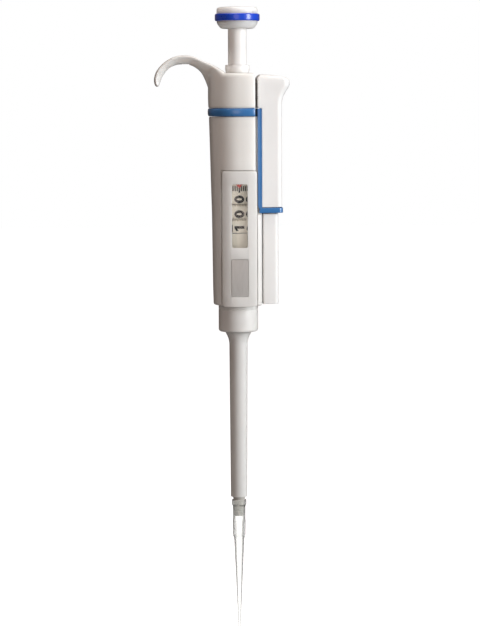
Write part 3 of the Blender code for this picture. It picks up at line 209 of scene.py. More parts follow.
@dataclass(frozen=True)
class ClearPlastic:
    """Clear moulded plastic with faint clouds in its gloss: the counter's pane or a tip.

    A wall that the eye sees along its length reads as a grey line; the edge colour paints it there as painted
    shade, growing where the surface turns away from the eye.
    """

    name: str
    tint: str
    rough: float
    cloud_mm: float
    bump_mm: float
    # edge colour: painted shade where the surface turns away from the eye; empty for none
    edge: str = ""
    specular: float = 0.5

    def build(self) -> bpy.types.Material:
        """Make the material's nodes."""
        material, tree, shader = new_material(self.name)
        place = add_node(tree, "ShaderNodeTexCoord").outputs["Object"]
        cloud = add_node(tree, "ShaderNodeTexNoise", {
            "Vector": place, "Scale": 1.0 / (self.cloud_mm * MM), "Detail": 2.0})
        rough = add_node(tree, "ShaderNodeMapRange", {
            "Value": cloud.outputs["Fac"], "From Min": 0.3, "From Max": 0.7,
            "To Min": self.rough * 0.7, "To Max": self.rough * 1.3})
        bump = add_node(tree, "ShaderNodeBump", {
            "Height": cloud.outputs["Fac"], "Strength": 0.3, "Distance": self.bump_mm * MM})
        set_inputs(tree, shader, {
            "Base Color": srgb(self.tint), "Roughness": rough.outputs["Result"],
            "Normal": bump.outputs["Normal"], "Transmission Weight": 1.0, "IOR": 1.49,
            "Specular IOR Level": self.specular})
        # Painted shade: the colour turns to the edge colour where the surface turns away from the eye.
        if self.edge:
            slant = add_node(tree, "ShaderNodeLayerWeight", {"Blend": 0.5})
            rim = add_node(tree, "ShaderNodeValToRGB", {"Fac": slant.outputs["Facing"]},
                           stops=((0.14, self.tint), (0.62, self.edge)))
            set_inputs(tree, shader, {"Base Color": rim.outputs["Color"]})
        return material


@dataclass(frozen=True)
class TurnedMetal:
    """Lathe-turned metal: fine rings across the plunger axis catch the light."""

    name: str
    base: str
    rough: float
    ring_mm: float = 0.12
    along_ring_mm: float = 25.0

    def build(self) -> bpy.types.Material:
        """Make the material's nodes."""
        material, tree, shader = new_material(self.name)
        place = add_node(tree, "ShaderNodeTexCoord").outputs["Object"]
        along, across = 1.0 / (self.along_ring_mm * MM), 1.0 / (self.ring_mm * MM)
        turned = add_node(tree, "ShaderNodeMapping", {"Vector": place, "Scale": (along, along, across)})
        rings = add_node(tree, "ShaderNodeTexNoise", {
            "Vector": turned.outputs["Vector"], "Scale": 1.0, "Detail": 3.0})
        rough = add_node(tree, "ShaderNodeMapRange", {
            "Value": rings.outputs["Fac"], "From Min": 0.3, "From Max": 0.7,
            "To Min": self.rough * 0.8, "To Max": self.rough * 1.25})
        bump = add_node(tree, "ShaderNodeBump", {
            "Height": rings.outputs["Fac"], "Strength": 0.3, "Distance": 0.004 * MM})
        set_inputs(tree, shader, {
            "Base Color": srgb(self.base), "Roughness": rough.outputs["Result"],
            "Normal": bump.outputs["Normal"], "Metallic": 1.0})
        return material


@dataclass(frozen=True)
class SilverFoil:
    """Bare silver-grey foil plate, drawn out when rolled, so it shows faint long streaks."""

    name: str
    base: str
    shade: str
    streak_mm: float = 0.1111
    streak_long_mm: float = 4.545

    def build(self) -> bpy.types.Material:
        """Make the material's nodes."""
        material, tree, shader = new_material(self.name)
        place = add_node(tree, "ShaderNodeTexCoord").outputs["Object"]
        across, along = 1.0 / (self.streak_mm * MM), 1.0 / (self.streak_long_mm * MM)
        drawn = add_node(tree, "ShaderNodeMapping", {"Vector": place, "Scale": (across, across, along)})
        streaks = add_node(tree, "ShaderNodeTexNoise", {
            "Vector": drawn.outputs["Vector"], "Scale": 1.0, "Detail": 3.0})
        colour = add_node(tree, "ShaderNodeValToRGB", {"Fac": streaks.outputs["Fac"]},
                          stops=((0.3, self.shade), (0.7, self.base)))
        rough = add_node(tree, "ShaderNodeMapRange", {
            "Value": streaks.outputs["Fac"], "From Min": 0.3, "From Max": 0.7, "To Min": 0.36, "To Max": 0.5})
        bump = add_node(tree, "ShaderNodeBump", {
            "Height": streaks.outputs["Fac"], "Strength": 0.2, "Distance": 0.004 * MM})
        set_inputs(tree, shader, {
            "Base Color": colour.outputs["Color"], "Roughness": rough.outputs["Result"],
            "Normal": bump.outputs["Normal"], "Metallic": 0.35})
        return material


class Finish(Enum):
    """Finishes of the instrument's pieces."""

    BODY = MouldedPlastic("body_satin_moulding", "EDECE9", "E7E6E2", 0.36, 0.48,
                          specular=0.38, milk=0.4, bleed_mm=4.0)
    THUMB = MouldedPlastic("ejector_white_moulding", "F2F2F1", "EDEDEC", 0.36, 0.48,
                           specular=0.38, milk=0.3, bleed_mm=1.2)
    CAP = MouldedPlastic("button_fine_moulding", "FAF8F5", "F4F2EE", 0.32, 0.44,
                         specular=0.4, milk=1.0, bleed_mm=9.0)
    STEM = MouldedPlastic("stem_white_moulding", "FBFAF8", "F5F4F1", 0.3, 0.42,
                          specular=0.4, milk=0.4, bleed_mm=1.5)
    ROYAL_BLUE = MouldedPlastic("button_ring_blue_moulding", "0E4AD6", "0C42C6", 0.24, 0.34, coat=0.4)
    STEEL_BLUE = MouldedPlastic("trim_blue_moulding", "3878B6", "3270AC", 0.26, 0.36, coat=0.6)
    WHEEL = MouldedPlastic("number_wheel_moulding", "E2DACA", "DAD1C0", 0.42, 0.55)
    CONE = MouldedPlastic("cone_grey_moulding", "CFCDC7", "C4C2BC", 0.38, 0.5, milk=0.3)
    DARK = MouldedPlastic("inner_dark_moulding", "4A4C50", "424448", 0.45, 0.6)
    SEAL = MouldedPlastic("seal_white_moulding", "EFEFEC", "E6E6E3", 0.45, 0.6)
    RUBBER = MouldedPlastic("o_ring_moulded_rubber", "1C1C1D", "232324", 0.55, 0.7, 0.2, 0.01)
    PANE = ClearPlastic("counter_pane_clear_moulding", "FBFCFC", 0.04, 6.0, 0.002, specular=0.08)
    # The tip's edge colour 2E2C2B is painted shade along its walls.
    TIP = ClearPlastic("tip_clear_moulding", "F6F7F6", 0.1, 1.2, 0.004, "2E2C2B")
    STEEL = TurnedMetal("steel_ground_bar", "B9BBBD", 0.26)
    BRASS = TurnedMetal("brass_turned_bar", "BD9F5B", 0.3)
    FOIL = SilverFoil("label_plate_bare_foil", "C6C5C3", "B8B7B4")
    INK = Ink("wheel_black_print", "020202", "060606")
    POINTER = Ink("pointer_red_print", "C8372C", "BB3027")

    def material(self) -> bpy.types.Material:
        """The finish's one shared material, made on first use."""
        found = bpy.data.materials.get(self.value.name)
        return found if found is not None else self.value.build()


# Surfaces worked out on grids

def soften(points: Outline, radii: list[float], steps: int = 5, closed: bool = True) -> np.ndarray:
    """Round the corners of an outline with quadratic arcs.

    Each corner P with neighbours A and B is replaced by the curve
    (1-t)^2 P0 + 2 t (1-t) P + t^2 P1, where P0 and P1 lie on the two sides at the corner's
    radius, or at 45% of a shorter side.

    Args:
        points: outline corners.
        radii: rounding of each corner, zero for a sharp one.
        steps: points on each rounded corner, less one.
        closed: whether the last corner joins the first.

    Returns:
        Array of outline points.
    """
    corners = np.asarray(points, dtype=float)
    pieces = []
    count = len(corners)
    t = np.linspace(0.0, 1.0, steps + 1)[:, None]
    for i in range(count):
        if radii[i] <= 0.0 or (not closed and i in (0, count - 1)):
            pieces.append(corners[i][None, :])
            continue
        ends = []
        for neighbour in (corners[i - 1], corners[(i + 1) % count]):
            side = neighbour - corners[i]
            length = float(np.linalg.norm(side))
            ends.append(corners[i] + side / length * min(radii[i], 0.45 * length))
        pieces.append((1 - t) ** 2 * ends[0] + 2 * t * (1 - t) * corners[i] + t ** 2 * ends[1])
    return np.concatenate(pieces)


def box_outline(x0: float, x1: float, y0: float, y1: float, radius: float, steps: int = 8) -> np.ndarray:
    """Rounded rectangle between two corners."""
    return soften(((x0, y0), (x1, y0), (x1, y1), (x0, y1)), [radius] * 4, steps)


def smooth_min(a: np.ndarray, b: np.ndarray, width: float) -> np.ndarray:
    """The lower of two arrays, with the change from one to the other rounded over a width."""
    h = np.clip(0.5 + 0.5 * (b - a) / width, 0.0, 1.0)
    return b * (1.0 - h) + a * h - width * h * (1.0 - h)


def smooth_step(value: np.ndarray, start: float, end: float) -> np.ndarray:
    """Rise from 0 at start to 1 at end along 3t^2 - 2t^3."""
    t = np.clip((value - start) / (end - start), 0.0, 1.0)
    return t * t * (3.0 - 2.0 * t)


def signed_power(value: np.ndarray, power: np.ndarray | float) -> np.ndarray:
    """Raise the size of each value to a power and keep its sign."""
    return np.sign(value) * np.abs(value) ** power


def catmull(points: np.ndarray, where: np.ndarray) -> np.ndarray:
    """Read a Catmull-Rom curve through points at fractional point numbers.

    Between P1 and P2, with P0 before and P3 after them, the curve is
    0.5 (2 P1 + (P2 - P0) t + (2 P0 - 5 P1 + 4 P2 - P3) t^2 + (3 P1 - P0 - 3 P2 + P3) t^3).

    Args:
        points: array of points.
        where: positions, from 0 to the number of points less one.

    Returns:
        Array of points on the curve.
    """
    padded = np.concatenate([2 * points[:1] - points[1:2], points, 2 * points[-1:] - points[-2:-1]])
    i = np.clip(np.floor(where).astype(int), 0, len(points) - 2)
    t = (where - i)[:, None]
    p0, p1, p2, p3 = padded[i], padded[i + 1], padded[i + 2], padded[i + 3]
    square, cube = 2 * p0 - 5 * p1 + 4 * p2 - p3, 3 * p1 - p0 - 3 * p2 + p3
    return 0.5 * (2 * p1 + (p2 - p0) * t + square * t ** 2 + cube * t ** 3)


def grid_faces(rows: int, columns: int, close_rows: bool) -> np.ndarray:
    """Quads of a grid of points numbered row by row, each row a loop.

    Args:
        rows: number of rows.
        columns: points in a row.
        close_rows: whether the last row joins the first.

    Returns:
        Array of four point numbers for each face.
    """
    row, column = np.meshgrid(np.arange(rows if close_rows else rows - 1), np.arange(columns), indexing="ij")
    next_row, next_column = (row + 1) % rows, (column + 1) % columns
    quads = [row * columns + column, row * columns + next_column,
             next_row * columns + next_column, next_row * columns + column]
    return np.stack(quads, axis=-1).reshape(-1, 4)


def shade(mesh: bpy.types.Mesh, sharp_deg: float = SHARP_DEG) -> None:
    """Shade a mesh smooth, apart from edges that turn more than an angle."""
    mesh.shade_smooth()
    mesh.set_sharp_from_angle(angle=math.radians(sharp_deg))


def make_piece(name: str, points: np.ndarray, quads: np.ndarray, finish: Finish = Finish.BODY,
               caps: list[list[int]] | None = None, sharp_deg: float = SHARP_DEG) -> bpy.types.Object:
    """Make an object at the origin from points in mm about the plunger axis.

    Args:
        name: piece name.
        points: array of x, y and z.
        quads: array of faces.
        finish: its one finish.
        caps: further faces with any number of corners.
        sharp_deg: edges that turn more than this stay sharp.

    Returns:
        The piece, closed at its seams and poles, with its faces pointing out.
    """
    world = (points.reshape(-1, 3) + np.array([AXIS_X, 0.0, 0.0])) * MM
    mesh = bpy.data.meshes.new(name)
    mesh.from_pydata(world.tolist(), [], quads.tolist() + (caps or []))
    bm = bmesh.new()
    bm.from_mesh(mesh)
    bmesh.ops.remove_doubles(bm, verts=bm.verts, dist=WELD_M)
    bmesh.ops.recalc_face_normals(bm, faces=bm.faces)
    bm.to_mesh(mesh)
    bm.free()
    shade(mesh, sharp_deg)
    mesh.materials.append(finish.material())
    piece = bpy.data.objects.new(name, mesh)
    bpy.context.scene.collection.objects.link(piece)
    return piece


def revolve(name: str, profile: np.ndarray | Outline, finish: Finish = Finish.BODY, steps: int = 96,
            closed: bool = True, centre_x: float = 0.0) -> bpy.types.Object:
    """Turn a profile about a vertical axis: x = r cos u, y = r sin u, z as given.

    Args:
        name: piece name.
        profile: radius and height of each point.
        finish: its finish; a tool keeps the default.
        steps: facets of the turn.
        closed: whether the profile is a loop; an open one ends on the axis.
        centre_x: x of the axis.

    Returns:
        The turned piece.
    """
    radius, height = np.asarray(profile, dtype=float).T[..., None]
    angle = np.linspace(0.0, math.tau, steps, endpoint=False)
    grid = np.stack(np.broadcast_arrays(
        centre_x + radius * np.cos(angle), radius * np.sin(angle), height), axis=-1)
    return make_piece(name, grid, grid_faces(len(profile), steps, closed), finish)


def loft(name: str, rings: np.ndarray, finish: Finish = Finish.BODY) -> bpy.types.Object:
    """Join a stack of closed rings and close both ends.

    Args:
        name: piece name.
        rings: array of rings, points and coordinates.
        finish: its finish; a tool keeps the default.

    Returns:
        The closed piece.
    """
    rows, columns = rings.shape[:2]
    caps = [list(range(columns)), list(range((rows - 1) * columns, rows * columns))]
    return make_piece(name, rings, grid_faces(rows, columns, False), finish, caps)


def rounded_slab(name: str, outline: np.ndarray, low: float, high: float, axis: str = "z",
                 edge: float = CUT_EDGE, finish: Finish = Finish.BODY) -> bpy.types.Object:
    """Extrude an outline with quarter-round edges.

    Ring k is the outline moved inwards along its normals by edge * (1 - sin a), at a
    height edge * (1 - cos a) from the end, for a from 0 to 90 degrees.

    Args:
        name: piece name.
        outline: closed outline in the plane across the axis.
        low: lower end along the axis.
        high: upper end along the axis.
        axis: "y" for outlines in x and z, "z" for outlines in x and y.
        edge: radius of the edges; a tool keeps the default.
        finish: its finish; a tool keeps the default.

    Returns:
        The closed piece.
    """
    x, y = outline.T
    ahead = np.roll(outline, -1, axis=0) - np.roll(outline, 1, axis=0)
    normal = np.stack([ahead[:, 1], -ahead[:, 0]], axis=-1)
    normal /= np.linalg.norm(normal, axis=1, keepdims=True) + 1e-12
    normal *= math.copysign(1.0, np.sum(x * np.roll(y, -1) - np.roll(x, -1) * y))
    angle = np.linspace(0.0, math.pi / 2.0, 6)
    inset, rise = edge * (1.0 - np.sin(angle)), edge * (1.0 - np.cos(angle))
    insets = np.concatenate([inset, inset[::-1]])
    levels = np.concatenate([low + rise, (high - rise)[::-1]])
    flat = outline[None, :, :] - insets[:, None, None] * normal[None, :, :]
    level = np.broadcast_to(levels[:, None], flat.shape[:2])
    order = [flat[..., 0], level, flat[..., 1]] if axis == "y" else [flat[..., 0], flat[..., 1], level]
    return loft(name, np.stack(order, axis=-1), finish)


def apply_changes(piece: bpy.types.Object, sharp_deg: float = SHARP_DEG) -> None:
    """Apply a piece's modifiers, keep only its own finish and shade it.

    Args:
        piece: piece with modifiers.
        sharp_deg: edges that turn more than this stay sharp.
    """
    graph = bpy.context.evaluated_depsgraph_get()
    result = bpy.data.meshes.new_from_object(piece.evaluated_get(graph))
    finish = piece.data.materials[0]
    piece.modifiers.clear()
    piece.data = result
    result.materials.clear()
    result.materials.append(finish)
    shade(result, sharp_deg)


def boolean(target: bpy.types.Object, tools: list[bpy.types.Object], operation: str = "DIFFERENCE") -> None:
    """Apply Booleans to a piece and drop their tools.

    Args:
        target: piece that is changed.
        tools: closed pieces to cut away or to join.
        operation: Blender's name for the operation.
    """
    for tool in tools:
        change = target.modifiers.new("Change", "BOOLEAN")
        change.operation, change.solver, change.object = operation, "EXACT", tool
    apply_changes(target)
    for tool in tools:
        bpy.data.objects.remove(tool, do_unlink=True)


def commit(piece: bpy.types.Object, body: str, node: str, replaces: bool = True) -> None:
    """Give a finished piece to its body.

    Args:
        piece: finished piece.
        body: body that it moves with.
        node: CAD node that it goes with; hidden when the piece replaces it.
        replaces: whether it stands in that node's place, and not beside it.
    """
    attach(piece, body)
    if replaces:
        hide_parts(node)
    LOG.info("%s: %d faces on %s", piece.name, len(piece.data.polygons), body)


def dress_node(name: str, finish: Finish) -> None:
    """Give a finish to a CAD node that keeps its own shape.

    Args:
        name: node name.
        finish: its new finish.
    """
    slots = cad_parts[name].data.materials
    slots.clear()
    slots.append(finish.material())
    LOG.info("%s: finish %s", name, finish.value.name)


# Sub-assemblies

@dataclass
class PushButton:
    """Cap, blue ring, stem and neck bush at the top of the plunger."""

    top: float = 24.85
    bottom: float = 15.4
    radius: float = 9.05
    crown_round: float = 2.3
    skirt_z: float = 17.4
    bottom_radius: float = 7.2
    socket_top: float = 21.3
    groove: float = 8.5
    groove_gap: float = 0.1
    ring_top: float = 21.85
    ring_bottom: float = 18.75
    ring_radius: float = 9.85
    stem_radius: float = 4.1
    stem_gap: float = 0.15
    stem_top: float = 21.0
    stem_bottom: float = -18.0
    rod_socket: float = 2.8
    rod_socket_end: float = -10.0
    bush_radius: float = 5.4
    bush_top: float = -0.4
    bush_foot: float = -3.7
    spigot_radius: float = 5.05
    spigot_end: float = -9.4

    def build_cap(self) -> None:
        """Cap: rounded flat crown, a groove for the ring and a tapered underside."""
        bore = self.stem_radius + self.stem_gap
        groove_top, groove_bottom = self.ring_top + self.groove_gap, self.ring_bottom - self.groove_gap
        corners = [
            (0.0, self.top), (self.radius, self.top), (self.radius, groove_top), (self.groove, groove_top),
            (self.groove, groove_bottom), (self.radius - 0.02, groove_bottom),
            (self.radius - 0.25, self.skirt_z), (self.bottom_radius, self.bottom), (bore, self.bottom),
            (bore, self.socket_top), (0.0, self.socket_top),
        ]
        radii = [0.0, self.crown_round, 0.25, 0.0, 0.0, 0.25, 1.6, 0.8, 0.15, 0.0, 0.0]
        cap = revolve("push_button_cap", soften(corners, radii, 8, closed=False), Finish.CAP, 160, closed=False)
        commit(cap, "button", "push_button")

    def build_ring(self) -> None:
        """Blue ring: a flat band with rounded shoulders, set in the cap's groove."""
        inner = self.groove + self.groove_gap
        corners = [(self.ring_radius, self.ring_top), (self.ring_radius, self.ring_bottom),
                   (inner, self.ring_bottom), (inner, self.ring_top)]
        ring = revolve("button_colour_ring", soften(corners, [0.75, 0.75, 0.1, 0.1], 8), Finish.ROYAL_BLUE, 160)
        commit(ring, "button", "button_ring")

    def build_stem(self) -> None:
        """Round stem with a chamfered top and the socket of the push rod."""
        corners = [(0.0, self.stem_top), (self.stem_radius, self.stem_top),
                   (self.stem_radius, self.stem_bottom), (self.rod_socket, self.stem_bottom),
                   (self.rod_socket, self.rod_socket_end), (0.0, self.rod_socket_end)]
        profile = soften(corners, [0.0, 0.4, 0.2, 0.1, 0.0, 0.0], 4, closed=False)
        commit(revolve("button_stem", profile, Finish.STEM, closed=False), "button", "push_stem")

    def build_bush(self) -> None:
        """Neck bush: a round collar on the housing with a sunk bore."""
        bore = self.stem_radius + self.stem_gap
        corners = [(self.bush_radius, self.bush_top), (self.bush_radius, -2.0),
                   (self.bush_radius - 0.3, self.bush_foot), (self.spigot_radius, self.bush_foot),
                   (self.spigot_radius, self.spigot_end), (bore, self.spigot_end), (bore, self.bush_top)]
        profile = soften(corners, [0.5, 0.5, 0.1, 0.0, 0.1, 0.1, 0.35], 6)
        commit(revolve("stem_neck_bush", profile, Finish.STEM, 128), "handle", "neck_bush")

    def build(self) -> None:
        """Build the whole sub-assembly."""
        self.build_cap()
        self.build_ring()
        self.build_stem()
        self.build_bush()


@dataclass(frozen=True)
class Oval:
    """Cross-section of the handle: a superellipse about the plunger axis, wider at the top."""

    depth: float = 12.1
    power: float = 2.4
    right_share: float = 1.09
    left_power: float = 2.0
    heights: tuple[float, ...] = (-105.6, -99.0, -66.0, -50.0, -37.0, -15.5)
    left: tuple[float, ...] = (11.1, 11.3, 11.65, 12.1, 12.4, 13.0)

    def rings(self, heights: np.ndarray, grow: np.ndarray | float, count: int = 420) -> np.ndarray:
        """The section at several heights, before any cut.

        x = reach |cos t|^(2/p) and y = depth |sin t|^(2/p); the reach is read from a
        table to the left and is a share of the depth to the right, and each half has
        its own p.

        Args:
            heights: level of each ring.
            grow: how far each ring is moved out.
            count: points in a ring.

        Returns:
            Array of rings, points and coordinates.
        """
        more = np.broadcast_to(np.asarray(grow, dtype=float), heights.shape)[:, None]
        t = np.linspace(0.0, math.tau, count, endpoint=False)
        c, s = np.cos(t), np.sin(t)
        left = np.interp(heights, self.heights, self.left)[:, None] + more
        reach = np.where(c[None, :] < 0.0, left, self.right_share * (self.depth + more))
        bend = np.where(c < 0.0, 2.0 / self.left_power, 2.0 / self.power)
        x = signed_power(c, bend) * reach
        y = signed_power(s, bend) * (self.depth + more)
        return np.stack([x, y, np.broadcast_to(heights[:, None], x.shape)], axis=-1)


OVAL = Oval()
FLATTER = Oval(right_share=1.27, left_power=2.15, left=(12.8, 12.9, 13.2, 13.6, 13.9, 14.5))


@dataclass
class Handle:
    """Two housings with the finger hook, the colour band and the ejector guide."""

    top: float = -4.0
    bottom: float = -106.0
    band_top: float = -19.6
    band_bottom: float = -22.7
    wall_x: float = 7.05
    lip_x: float = 9.7
    lip_half: float = 8.3
    spine_x: float = 10.2
    spine_half: float = 6.2
    guide_top: float = -65.6
    guide_bottom: float = -105.6
    guide_plan: Outline = ((10.5, -6.15), (17.65, -5.35), (17.65, 5.35), (10.5, 6.15))
    foot_slot_top: float = -104.05
    below: float = -120.0
    cover_half: float = 7.9
    cover_top: float = -46.4
    cover_depth: float = 1.2
    cover_from_y: float = -8.35
    land_long: float = 3.4
    land_wide: float = 5.0
    skin_voxel: float = 0.25
    hook_end_x: float = -36.6
    hook_half_tip: float = 6.4
    hook_half_root: float = 7.4
    hook_narrowing: float = 0.36
    hook_blend: float = 2.4
    hook_outer: Outline = (
        (-35.75, -9.8), (-36.5, -8.4), (-36.6, -6.2), (-35.8, -3.5), (-34.0, -0.95), (-31.3, 1.4),
        (-27.9, 3.15), (-23.9, 3.8), (-19.8, 3.35), (-15.8, 1.6), (-12.0, 0.0), (-8.2, -2.0), (-4.8, -4.4),
    )
    hook_inner: Outline = (
        (-34.9, -9.95), (-34.3, -8.7), (-33.35, -6.2), (-32.1, -4.1), (-30.4, -2.1), (-28.4, -0.9),
        (-25.9, -0.2), (-22.8, -0.2), (-20.3, -0.6), (-17.8, -2.0), (-15.9, -3.8), (-14.4, -6.6),
        (-12.7, -11.0),
    )
    neck_seat: Outline = ((0.0, 2.0), (5.2, 2.0), (5.2, -9.7), (7.3, -9.7), (7.3, -24.0), (0.0, -24.0))
    band_hole: Outline = ((0.0, -15.0), (7.3, -15.0), (7.3, -26.0), (0.0, -26.0))
    spigot: Outline = ((5.45, -10.2), (7.0, -10.2), (7.0, -30.0), (5.45, -30.0))
    bore: Outline = ((0.0, -9.0), (5.4, -9.0), (5.4, -49.3), (8.9, -49.3), (8.9, -104.25), (7.1, -104.25),
                     (7.1, -112.0), (0.0, -112.0))

    def hook_rings(self) -> np.ndarray:
        """Sections along the hook, each a rectangle with large round corners.

        Catmull-Rom curves through the outer and the inner points give each section its
        two faces. Across the hook the section follows |cos t|^0.5 and |sin t|^b, with b
        from 0.5 at the tip to 0.3 at the root. It is narrower below, so its sides look
        down a little and lie in shade. Its half width at a point is the larger of the
        hook's own and the handle's depth there, so the hook grows out of the handle's
        front and back without a step.

        Returns:
            Array of rings, points and coordinates.
        """
        outer, inner = np.array(self.hook_outer), np.array(self.hook_inner)
        fine = np.linspace(0.0, len(outer) - 1.0, 97)
        top, under = catmull(outer, fine), catmull(inner, fine)
        share = fine / fine[-1]
        half = self.hook_half_tip + (self.hook_half_root - self.hook_half_tip) * np.minimum(1.0, share * 1.15)
        half = half * (0.80 + 0.20 * np.sqrt(np.clip(share / 0.06, 0.0, 1.0)))
        t = np.linspace(0.0, math.tau, 96, endpoint=False)
        n = signed_power(np.cos(t), 0.5)
        w = signed_power(np.sin(t), 0.5 - 0.2 * smooth_step(share, 0.3, 0.7)[:, None])
        mid, across = (top + under) / 2.0, (top - under) / 2.0
        x = mid[:, 0:1] + across[:, 0:1] * n
        z = mid[:, 1:2] + across[:, 1:2] * n
        power = OVAL.left_power
        body = OVAL.depth * (1.0 - np.clip(-x / OVAL.left[-1], 0.0, 1.0) ** power) ** (1.0 / power)
        taper = 1.0 - self.hook_narrowing * (1.0 - n)[None, :] * np.clip(share / 0.2, 0.0, 1.0)[:, None]
        y = -smooth_min(-body, -half[:, None] * taper, self.hook_blend) * w
        return np.stack([np.maximum(x, self.hook_end_x), np.clip(y, -OVAL.depth, OVAL.depth), z], axis=-1)

    def build_upper(self) -> None:
        """Upper housing: oval body and hook in one skin, with the blends of a moulding.

        The two forms are joined, remeshed and relaxed, which rounds the joint between
        them, and the land and the bore are cut afterwards.
        """
        heights = np.array([self.top, self.top - 0.12, self.top - 0.4, self.top - 0.9, self.top - 1.6, -8.0,
                            -12.0, -15.5, self.band_top + 0.6, self.band_top + 0.3])
        inset = np.array([1.6, 0.95, 0.42, 0.12, 0.0, 0.0, 0.0, 0.0, 0.0, 0.12])
        rings = OVAL.rings(heights, -inset, 200)
        rings[..., 0] = smooth_min(rings[..., 0], (self.wall_x - inset)[:, None], 0.3)
        body = loft("upper_housing_shell", rings)
        boolean(body, [loft("hook_tool", self.hook_rings())], "UNION")
        skin = body.modifiers.new("Skin", "REMESH")
        skin.mode, skin.voxel_size, skin.use_smooth_shade = "VOXEL", self.skin_voxel * MM, True
        relax = body.modifiers.new("Relax", "SMOOTH")
        relax.factor, relax.iterations = 0.5, 16
        apply_changes(body)
        long, wide = self.land_long / 2.0, self.land_wide / 2.0
        land = box_outline(-long - AXIS_X, long - AXIS_X, -wide, wide, 0.1, 2)
        boolean(body, [rounded_slab("land_tool", land, -1.5, 0.0),
                       revolve("seat_tool", self.neck_seat, closed=False)])
        commit(body, "handle", "upper_housing")

    def build_band(self) -> None:
        """Colour band: a slightly proud ring with rolled edges between the housings.

        Ring k stands at middle + half * cos^0.8 a and is moved out by 0.75 sin^0.8 a - 0.43.
        """
        a = np.linspace(0.0, math.pi, 15)
        middle = (self.band_top + self.band_bottom) / 2.0 + 0.02
        half = (self.band_top - self.band_bottom) / 2.0 + 0.22
        levels = middle + half * signed_power(np.cos(a), 0.8)
        rings = OVAL.rings(levels, 0.75 * np.abs(np.sin(a)) ** 0.8 - 0.43, 240)
        rings[..., 0] = smooth_min(rings[..., 0], np.full_like(rings[..., 0], self.wall_x - 0.05), 0.6)
        band = loft("handle_colour_band", rings, Finish.STEEL_BLUE)
        boolean(band, [revolve("band_hole_tool", self.band_hole, closed=False)])
        shade(band.data, 40.0)
        commit(band, "handle", "colour_band")

    def lower_rings(self) -> np.ndarray:
        """Rings of the lower housing's outside.

        The right side is held behind a limit that changes with y and z, and the front is
        sunk under the cover; each change is rounded by a smooth minimum or a smooth step.

        Returns:
            Array of rings, points and coordinates.
        """
        top, bottom = self.band_bottom - 0.35, self.bottom
        heights = np.concatenate([
            [top, top - 0.15, top - 0.4], np.linspace(top - 1.2, -45.6, 24),
            np.linspace(self.cover_top + 0.3, self.cover_top - 0.3, 7), np.linspace(-47.2, -64.6, 16),
            np.linspace(self.guide_top + 0.5, self.guide_top - 0.5, 7), np.linspace(-66.6, bottom + 1.2, 34),
            [bottom + 0.7, bottom + 0.35, bottom + 0.1, bottom]])
        inset = np.interp(heights, [bottom, bottom + 0.1, bottom + 0.35, bottom + 0.7, top - 0.4, top],
                          [0.7, 0.4, 0.12, 0.0, 0.0, 0.25])
        rings = OVAL.rings(heights, -inset - 0.15)
        x, y, z = rings[..., 0], rings[..., 1], rings[..., 2]
        spine = 1.0 - smooth_step(np.abs(y), self.spine_half - 0.25, self.spine_half + 0.05)
        lip = smooth_step(np.abs(y), self.lip_half, self.lip_half + 0.2)
        lip = lip * (1.0 - smooth_step(z, self.guide_top - 0.5, self.guide_top))
        limit = self.wall_x + (self.spine_x - self.wall_x) * spine + (self.lip_x - self.wall_x) * lip
        rings[..., 0] = np.where(x > 0.0, smooth_min(x, limit, 0.25), x)
        seat = (1.0 - smooth_step(np.abs(rings[..., 0]), self.cover_half - 0.1, self.cover_half + 0.1)) * (
            1.0 - smooth_step(z, self.cover_top - 0.1, self.cover_top + 0.1))
        rings[..., 1] = np.where(y < self.cover_from_y, y + self.cover_depth * seat, y)
        return rings

    def build_lower(self) -> None:
        """Lower housing: oval body with the ejector's run, the cover's seat and the bore."""
        body = loft("lower_housing_shell", self.lower_rings())
        foot = box_outline(5.0, 12.0, -FOOT_HALF, FOOT_HALF, 0.2)
        boolean(body, [
            revolve("bore_tool", self.bore, closed=False),
            rounded_slab("pane_tool", box_outline(-4.2, 4.2, -80.55, -51.35, 0.4), -14.0, -5.0, "y"),
            rounded_slab("pinion_tool", box_outline(-2.0, 2.0, 4.0, 11.2, 0.2), -82.8, -49.3),
            rounded_slab("foot_tool", foot, self.below, self.foot_slot_top),
        ])
        boolean(body, [revolve("spigot_tool", self.spigot)], "UNION")
        commit(body, "handle", "lower_housing")

    def build_guide(self) -> None:
        """Cover of the ejector rod: a rounded shell with a drilled deck."""
        outline = soften(self.guide_plan, [0.9, 2.2, 2.2, 0.9], 10)
        guide = rounded_slab("ejector_guide_shell", outline, self.guide_bottom, self.guide_top, "z", 0.3,
                             Finish.THUMB)
        inside = box_outline(11.4, 16.45, -4.7, 4.7, 1.2)
        slot = box_outline(8.0, 12.5, -FOOT_HALF, FOOT_HALF, 0.2)
        hole = [(0.0, -50.0), (ROD_HOLE, -50.0), (ROD_HOLE, -80.0), (0.0, -80.0)]
        boolean(guide, [
            rounded_slab("hollow_tool", inside, self.below, self.guide_top - 2.0),
            rounded_slab("slot_tool", slot, self.below, self.foot_slot_top),
            revolve("hole_tool", hole, steps=48, closed=False, centre_x=ROD_X),
        ])
        commit(guide, "handle", "ejector_guide")

    def build(self) -> None:
        """Build the whole sub-assembly."""
        self.build_upper()
        self.build_band()
        self.build_lower()
        self.build_guide()


